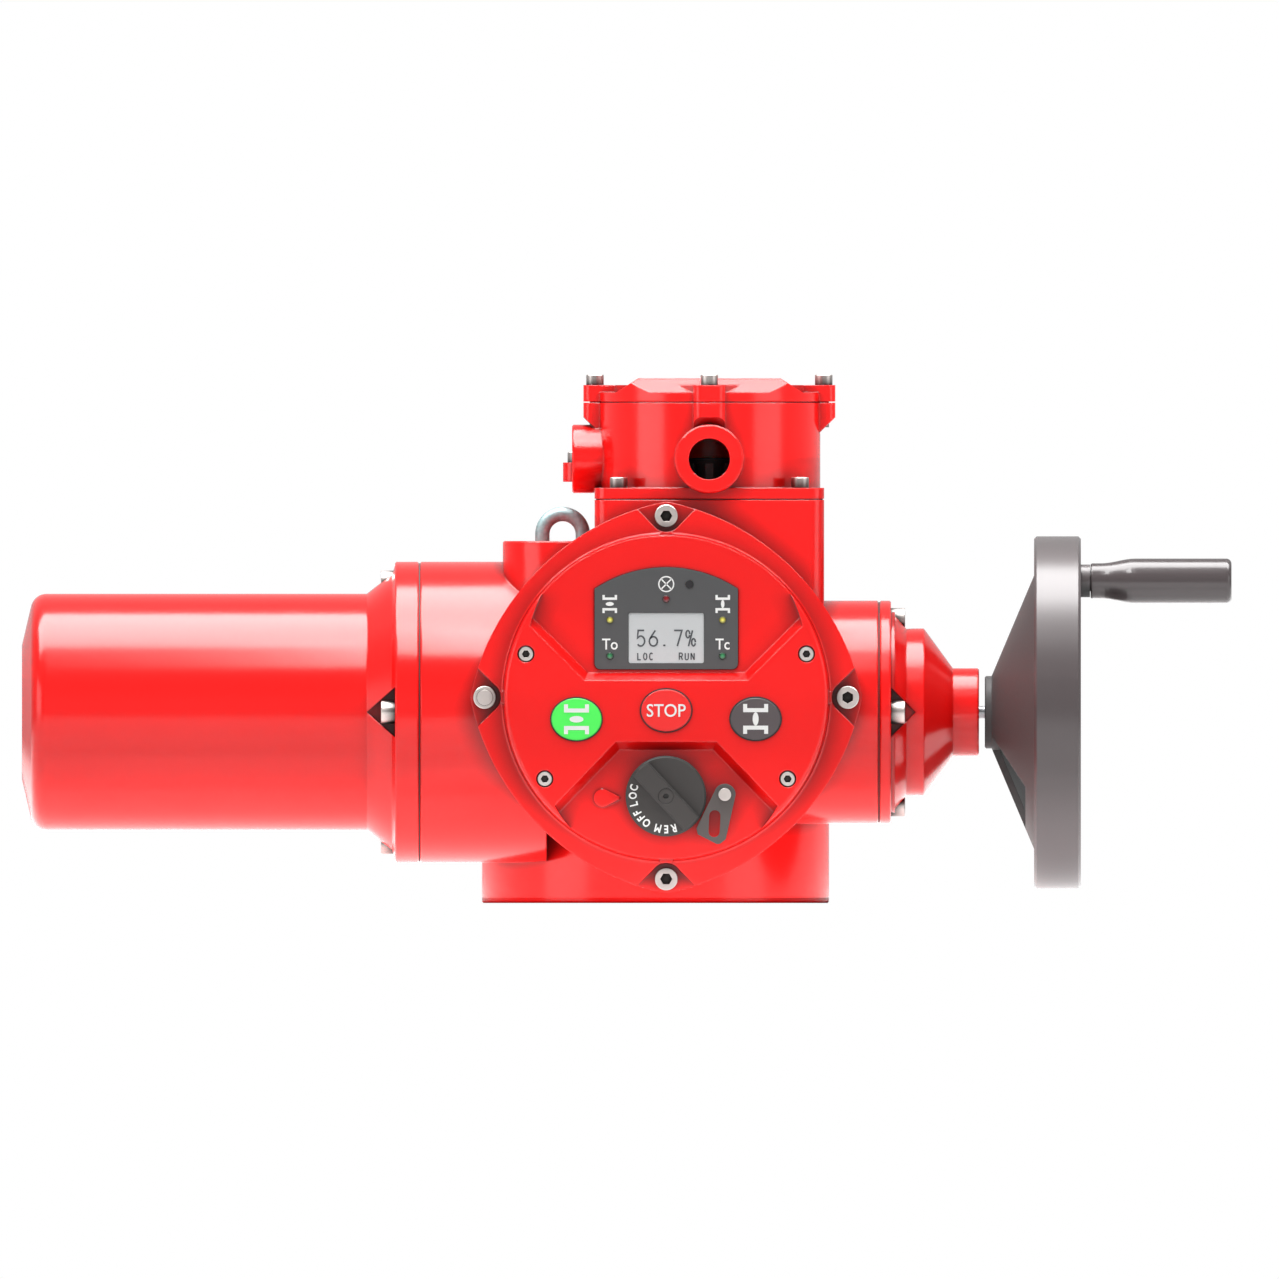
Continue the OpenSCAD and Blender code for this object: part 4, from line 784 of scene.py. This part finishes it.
def lamp_domes(name, node, asides, up, slot):
    """Domes on the flat ends of a lamp node, with only their bases left flat."""
    end_y = front_face(node)
    domes = bmesh.new()
    for aside in asides:
        add_dome(domes, LAMP_R - LAMP_PLAY, LENS_RISE - (panel_y - end_y), on_face(aside, up, end_y))
    piece = new_piece(name, domes, finishes[slot], "housing")
    for polygon in piece.data.polygons:
        polygon.use_smooth = len(polygon.vertices) < DOME_STEPS


lamp_domes("position_lenses", "position_leds", (-LAMPS_ASIDE, LAMPS_ASIDE), POSITION_LAMPS_UP, "led_yellow")
lamp_domes("torque_lenses", "torque_leds", (-LAMPS_ASIDE, LAMPS_ASIDE), TORQUE_LAMPS_UP, "led_green")
lamp_domes("fault_lens", "fault_led", (0,), FAULT_LAMP_UP, "led_red")

# %% [markdown]
# ## Keys
#
# The three keys carry white signs, which move with them. A thin black ring in the rubber finish lies round
# each key, in the gap between key and cover: painted shade, where the gap lies in shadow.

# %% Key signs and painted gap shade
GAP_SHADE_W = 0.55 * MM
GAP_SHADE_H = 0.18 * MM
GAP_SHADE_STEPS = 72
KEY_HALF_W = 14.3 * MM
KEY_HALF_H = 12.0 * MM
KEY_PLAY = 0.08 * MM
STOP_HEIGHT = 7.3 * MM


def key_sign(name, node, body, draw):
    """A white sign on a key, which rides on the key's body."""
    sign = bmesh.new()
    draw(sign, on_node(node, front_face(node)))
    new_piece(name, sign, white_print, body)


key_sign("open_key_sign", "open_button", "open_key",
         lambda bm, place: add_valve_sign(bm, *KEY_SIGN_SIZE, True, place))
key_sign("close_key_sign", "close_button", "close_key",
         lambda bm, place: add_valve_sign(bm, *KEY_SIGN_SIZE, False, place))
key_sign("stop_key_word", "stop_button", "stop_key",
         lambda bm, place: add_text(bm, text_mesh("STOP", STOP_HEIGHT, narrow=0.92, bold=0.008), place))

# Painted shade: dark rings laid in the gaps round the keys, where shade falls.
gap_shade_rings = bmesh.new()
gap_shade_outer = ellipse(KEY_HALF_W + KEY_PLAY + GAP_SHADE_W, KEY_HALF_H + KEY_PLAY + GAP_SHADE_W, GAP_SHADE_STEPS)
gap_shade_inner = ellipse(KEY_HALF_W + KEY_PLAY, KEY_HALF_H + KEY_PLAY, GAP_SHADE_STEPS)
for node in ("open_button", "stop_button", "close_button"):
    add_ring(gap_shade_rings, gap_shade_outer, gap_shade_inner, on_node(node, band_y), GAP_SHADE_H)
new_piece("key_gap_shade", gap_shade_rings, finishes["seal_rubber"], "housing")

# %% [markdown]
# ## Sealed screw
#
# The left one of the four cover screws has a flat face without a socket: it is sealed, which shows whether
# the cover has been opened. A thin plug closes the socket of that screw.

# %% Seal plug
COVER_SCREW_HEAD_R = 6.5 * MM
PLUG_R = 4.4 * MM
PLUG_RISE = 0.3 * MM

screws_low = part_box("control_cover_screws")[0]
left_screw_x = screws_low.x + COVER_SCREW_HEAD_R
plug_at = on_face(left_screw_x - cover_middle.x, 0.0, screws_low.y)
seal_plug = bmesh.new()
add_plate(seal_plug, ellipse(PLUG_R, PLUG_R), plug_at, PLUG_RISE)
new_piece("seal_plug", seal_plug, finishes["zinc_steel"], "housing")

# %% [markdown]
# ## Letters on the selector
#
# LOC, OFF and REM run round the lower left of the knob, tops outward, so that the one at the pointer reads
# level. Each letter is placed by its own angle and turned to stand along the radius.

# %% Selector letters
LETTER_RADIUS = 18.8 * MM
LETTER_HEIGHT = 4.7 * MM
BAR_RISE = 10.8 * MM
LETTER_ANGLES = {"LOC": (193.5, 179.0, 165.0), "OFF": (234.0, 221.0, 210.0), "REM": (283.5, 270.5, 256.0)}

knob_middle = middle("selector_screw")
disc_y = front_face("selector_knob") + BAR_RISE
knob_letters = bmesh.new()
for words, angles in LETTER_ANGLES.items():
    for letter, angle in zip(words, angles):
        dx = knob_middle.x - cover_middle.x + LETTER_RADIUS * math.cos(math.radians(angle))
        dz = knob_middle.z - cover_middle.z + LETTER_RADIUS * math.sin(math.radians(angle))
        place = on_face(dx, dz, disc_y, turn=angle - 90)
        add_text(knob_letters, text_mesh(letter, LETTER_HEIGHT, narrow=0.8, bold=0.03), place)
new_piece("selector_letters", knob_letters, white_print, "selector")

# %% [markdown]
# ## Floor
#
# The photograph's ground is pure white. A white floor under the strong lamp overhead would throw so much
# light back up that the undersides glow, so the floor is pale to the camera and in reflections, and darker
# as a source of light. It keeps the shadow of the machine.

# %% Floor
FLOOR_HALF = 3.0

floor_material, floor_shader, floor_where = finish("pale_floor", Roughness=0.9, Specular_IOR_Level=0.1)
seen = floor_where.node("LightPath", output="Is Camera Ray")
mirrored = seen.also("Is Glossy Ray")
pale = blend(noise(floor_where, 3.0), grey(0.34), grey(0.36))
unseen = blend(mirrored, grey(0.20), grey(0.70))
floor_where.feed(floor_shader.inputs["Base Color"], blend(seen, unseen, pale))
floor_mesh = bpy.data.meshes.new("floor")
corners = [(-1, -1), (1, -1), (1, 1), (-1, 1)]
floor_mesh.from_pydata([(x * FLOOR_HALF, y * FLOOR_HALF, 0.0) for x, y in corners], [], [(0, 1, 2, 3)])
floor_mesh.materials.append(floor_material)
floor = bpy.data.objects.new("floor", floor_mesh)
bpy.context.scene.collection.objects.link(floor)
print("floor is", 2 * FLOOR_HALF, "metres square")

# %% [markdown]
# ## Light
#
# A broad white band lies on the motor, from 32 to 55 degrees up its side and strongest near 50. A mirror
# there looks twice as high, so the machine reflects a white ceiling from 65 to 110 degrees above the front
# horizon. On the gear housing the band reaches lower and on the handwheel it ends higher, so a nearer panel
# hangs over the middle, and the right side ends sooner. These panels have one height and only show in
# reflections. The paint's own red is lit by softer lamps above, in front, behind and at both sides, so that
# band and body can be set apart from each other. The photograph's undersides are as bright as its front, so
# the machine stood on a lit table: large lamps at floor height face up.

# %% Lamps and world
def softbox(name, width, depth, at, towards, radiance, diffuse=True, reflected=True):
    """An area lamp of this radiance; its power follows from its size."""
    data = bpy.data.lights.new(name, "AREA")
    data.shape = "RECTANGLE"
    data.size, data.size_y = width, depth
    data.energy = radiance * width * depth * math.pi
    lamp = bpy.data.objects.new(name, data)
    bpy.context.scene.collection.objects.link(lamp)
    lamp.location = at
    lamp.rotation_euler = (Vector(towards) - Vector(at)).to_track_quat("-Z", "Y").to_euler()
    lamp.visible_camera = False
    lamp.visible_diffuse = diffuse
    lamp.visible_glossy = reflected
    print(name, "has", round(data.energy, 1), "watts")


CEILING_Z = 1.55
TABLE_Z = 0.003
MACHINE_AT = Vector((0.0, -0.07, 0.12))
AMBIENT = grey(0.15)
IN_MIRRORS = grey(0.60)
WHITE = grey(1.0)


def ceiling_panel(name, angles, sides, radiance):
    """A panel seen in reflections between two heights above the front horizon, in degrees."""
    rise = CEILING_Z - MACHINE_AT.z
    front, back = (MACHINE_AT.y - rise / math.tan(math.radians(angle)) for angle in angles)
    x, y = sum(sides) / 2, (front + back) / 2
    softbox(name, sides[1] - sides[0], back - front, (x, y, CEILING_Z), (x, y, 0.0), radiance, diffuse=False)


ceiling_panel("ceiling_core", (76, 106), (-1.5, 1.5), 14.5)
ceiling_panel("ceiling_left", (65, 110), (-1.6, 0.18), 13.0)
ceiling_panel("ceiling_right", (72, 108), (0.18, 1.6), 11.0)
ceiling_panel("ceiling_near", (44, 72), (-0.16, 0.0), 26.0)
softbox("top_softbox", 2.0, 0.9, (0.0, -0.62, 1.60), MACHINE_AT, 6.8, reflected=False)
softbox("front_softbox", 2.6, 0.8, (0.2, -2.5, 0.4), MACHINE_AT, 0.9, reflected=False)
softbox("back_softbox", 1.8, 0.8, (0.2, 1.8, 1.0), MACHINE_AT, 1.6, reflected=False)
softbox("left_softbox", 1.4, 1.2, (-2.2, -1.2, 0.35), MACHINE_AT, 3.0)
softbox("right_softbox", 1.4, 1.2, (2.2, -1.2, 0.35), MACHINE_AT, 2.2)
softbox("table_light", 2.6, 2.0, (0.0, -0.1, TABLE_Z), (0.0, -0.1, 1.0), 1.7, reflected=False)
softbox("table_gleam", 3.0, 3.0, (0.0, 0.0, TABLE_Z), (0.0, 0.0, 1.0), 1.5, diffuse=False)

world = bpy.data.worlds.new("studio")
bpy.context.scene.world = world
world.use_nodes = True
background = world.node_tree.nodes["Background"]
to_camera = Wire(world.node_tree).node("LightPath", output="Is Camera Ray")
seen = to_camera + to_camera.also("Is Transmission Ray")
unseen = blend(to_camera.also("Is Glossy Ray"), AMBIENT, IN_MIRRORS)
seen.feed(background.inputs["Color"], blend(seen, unseen, WHITE))
bpy.context.scene.view_settings.view_transform = "Standard"
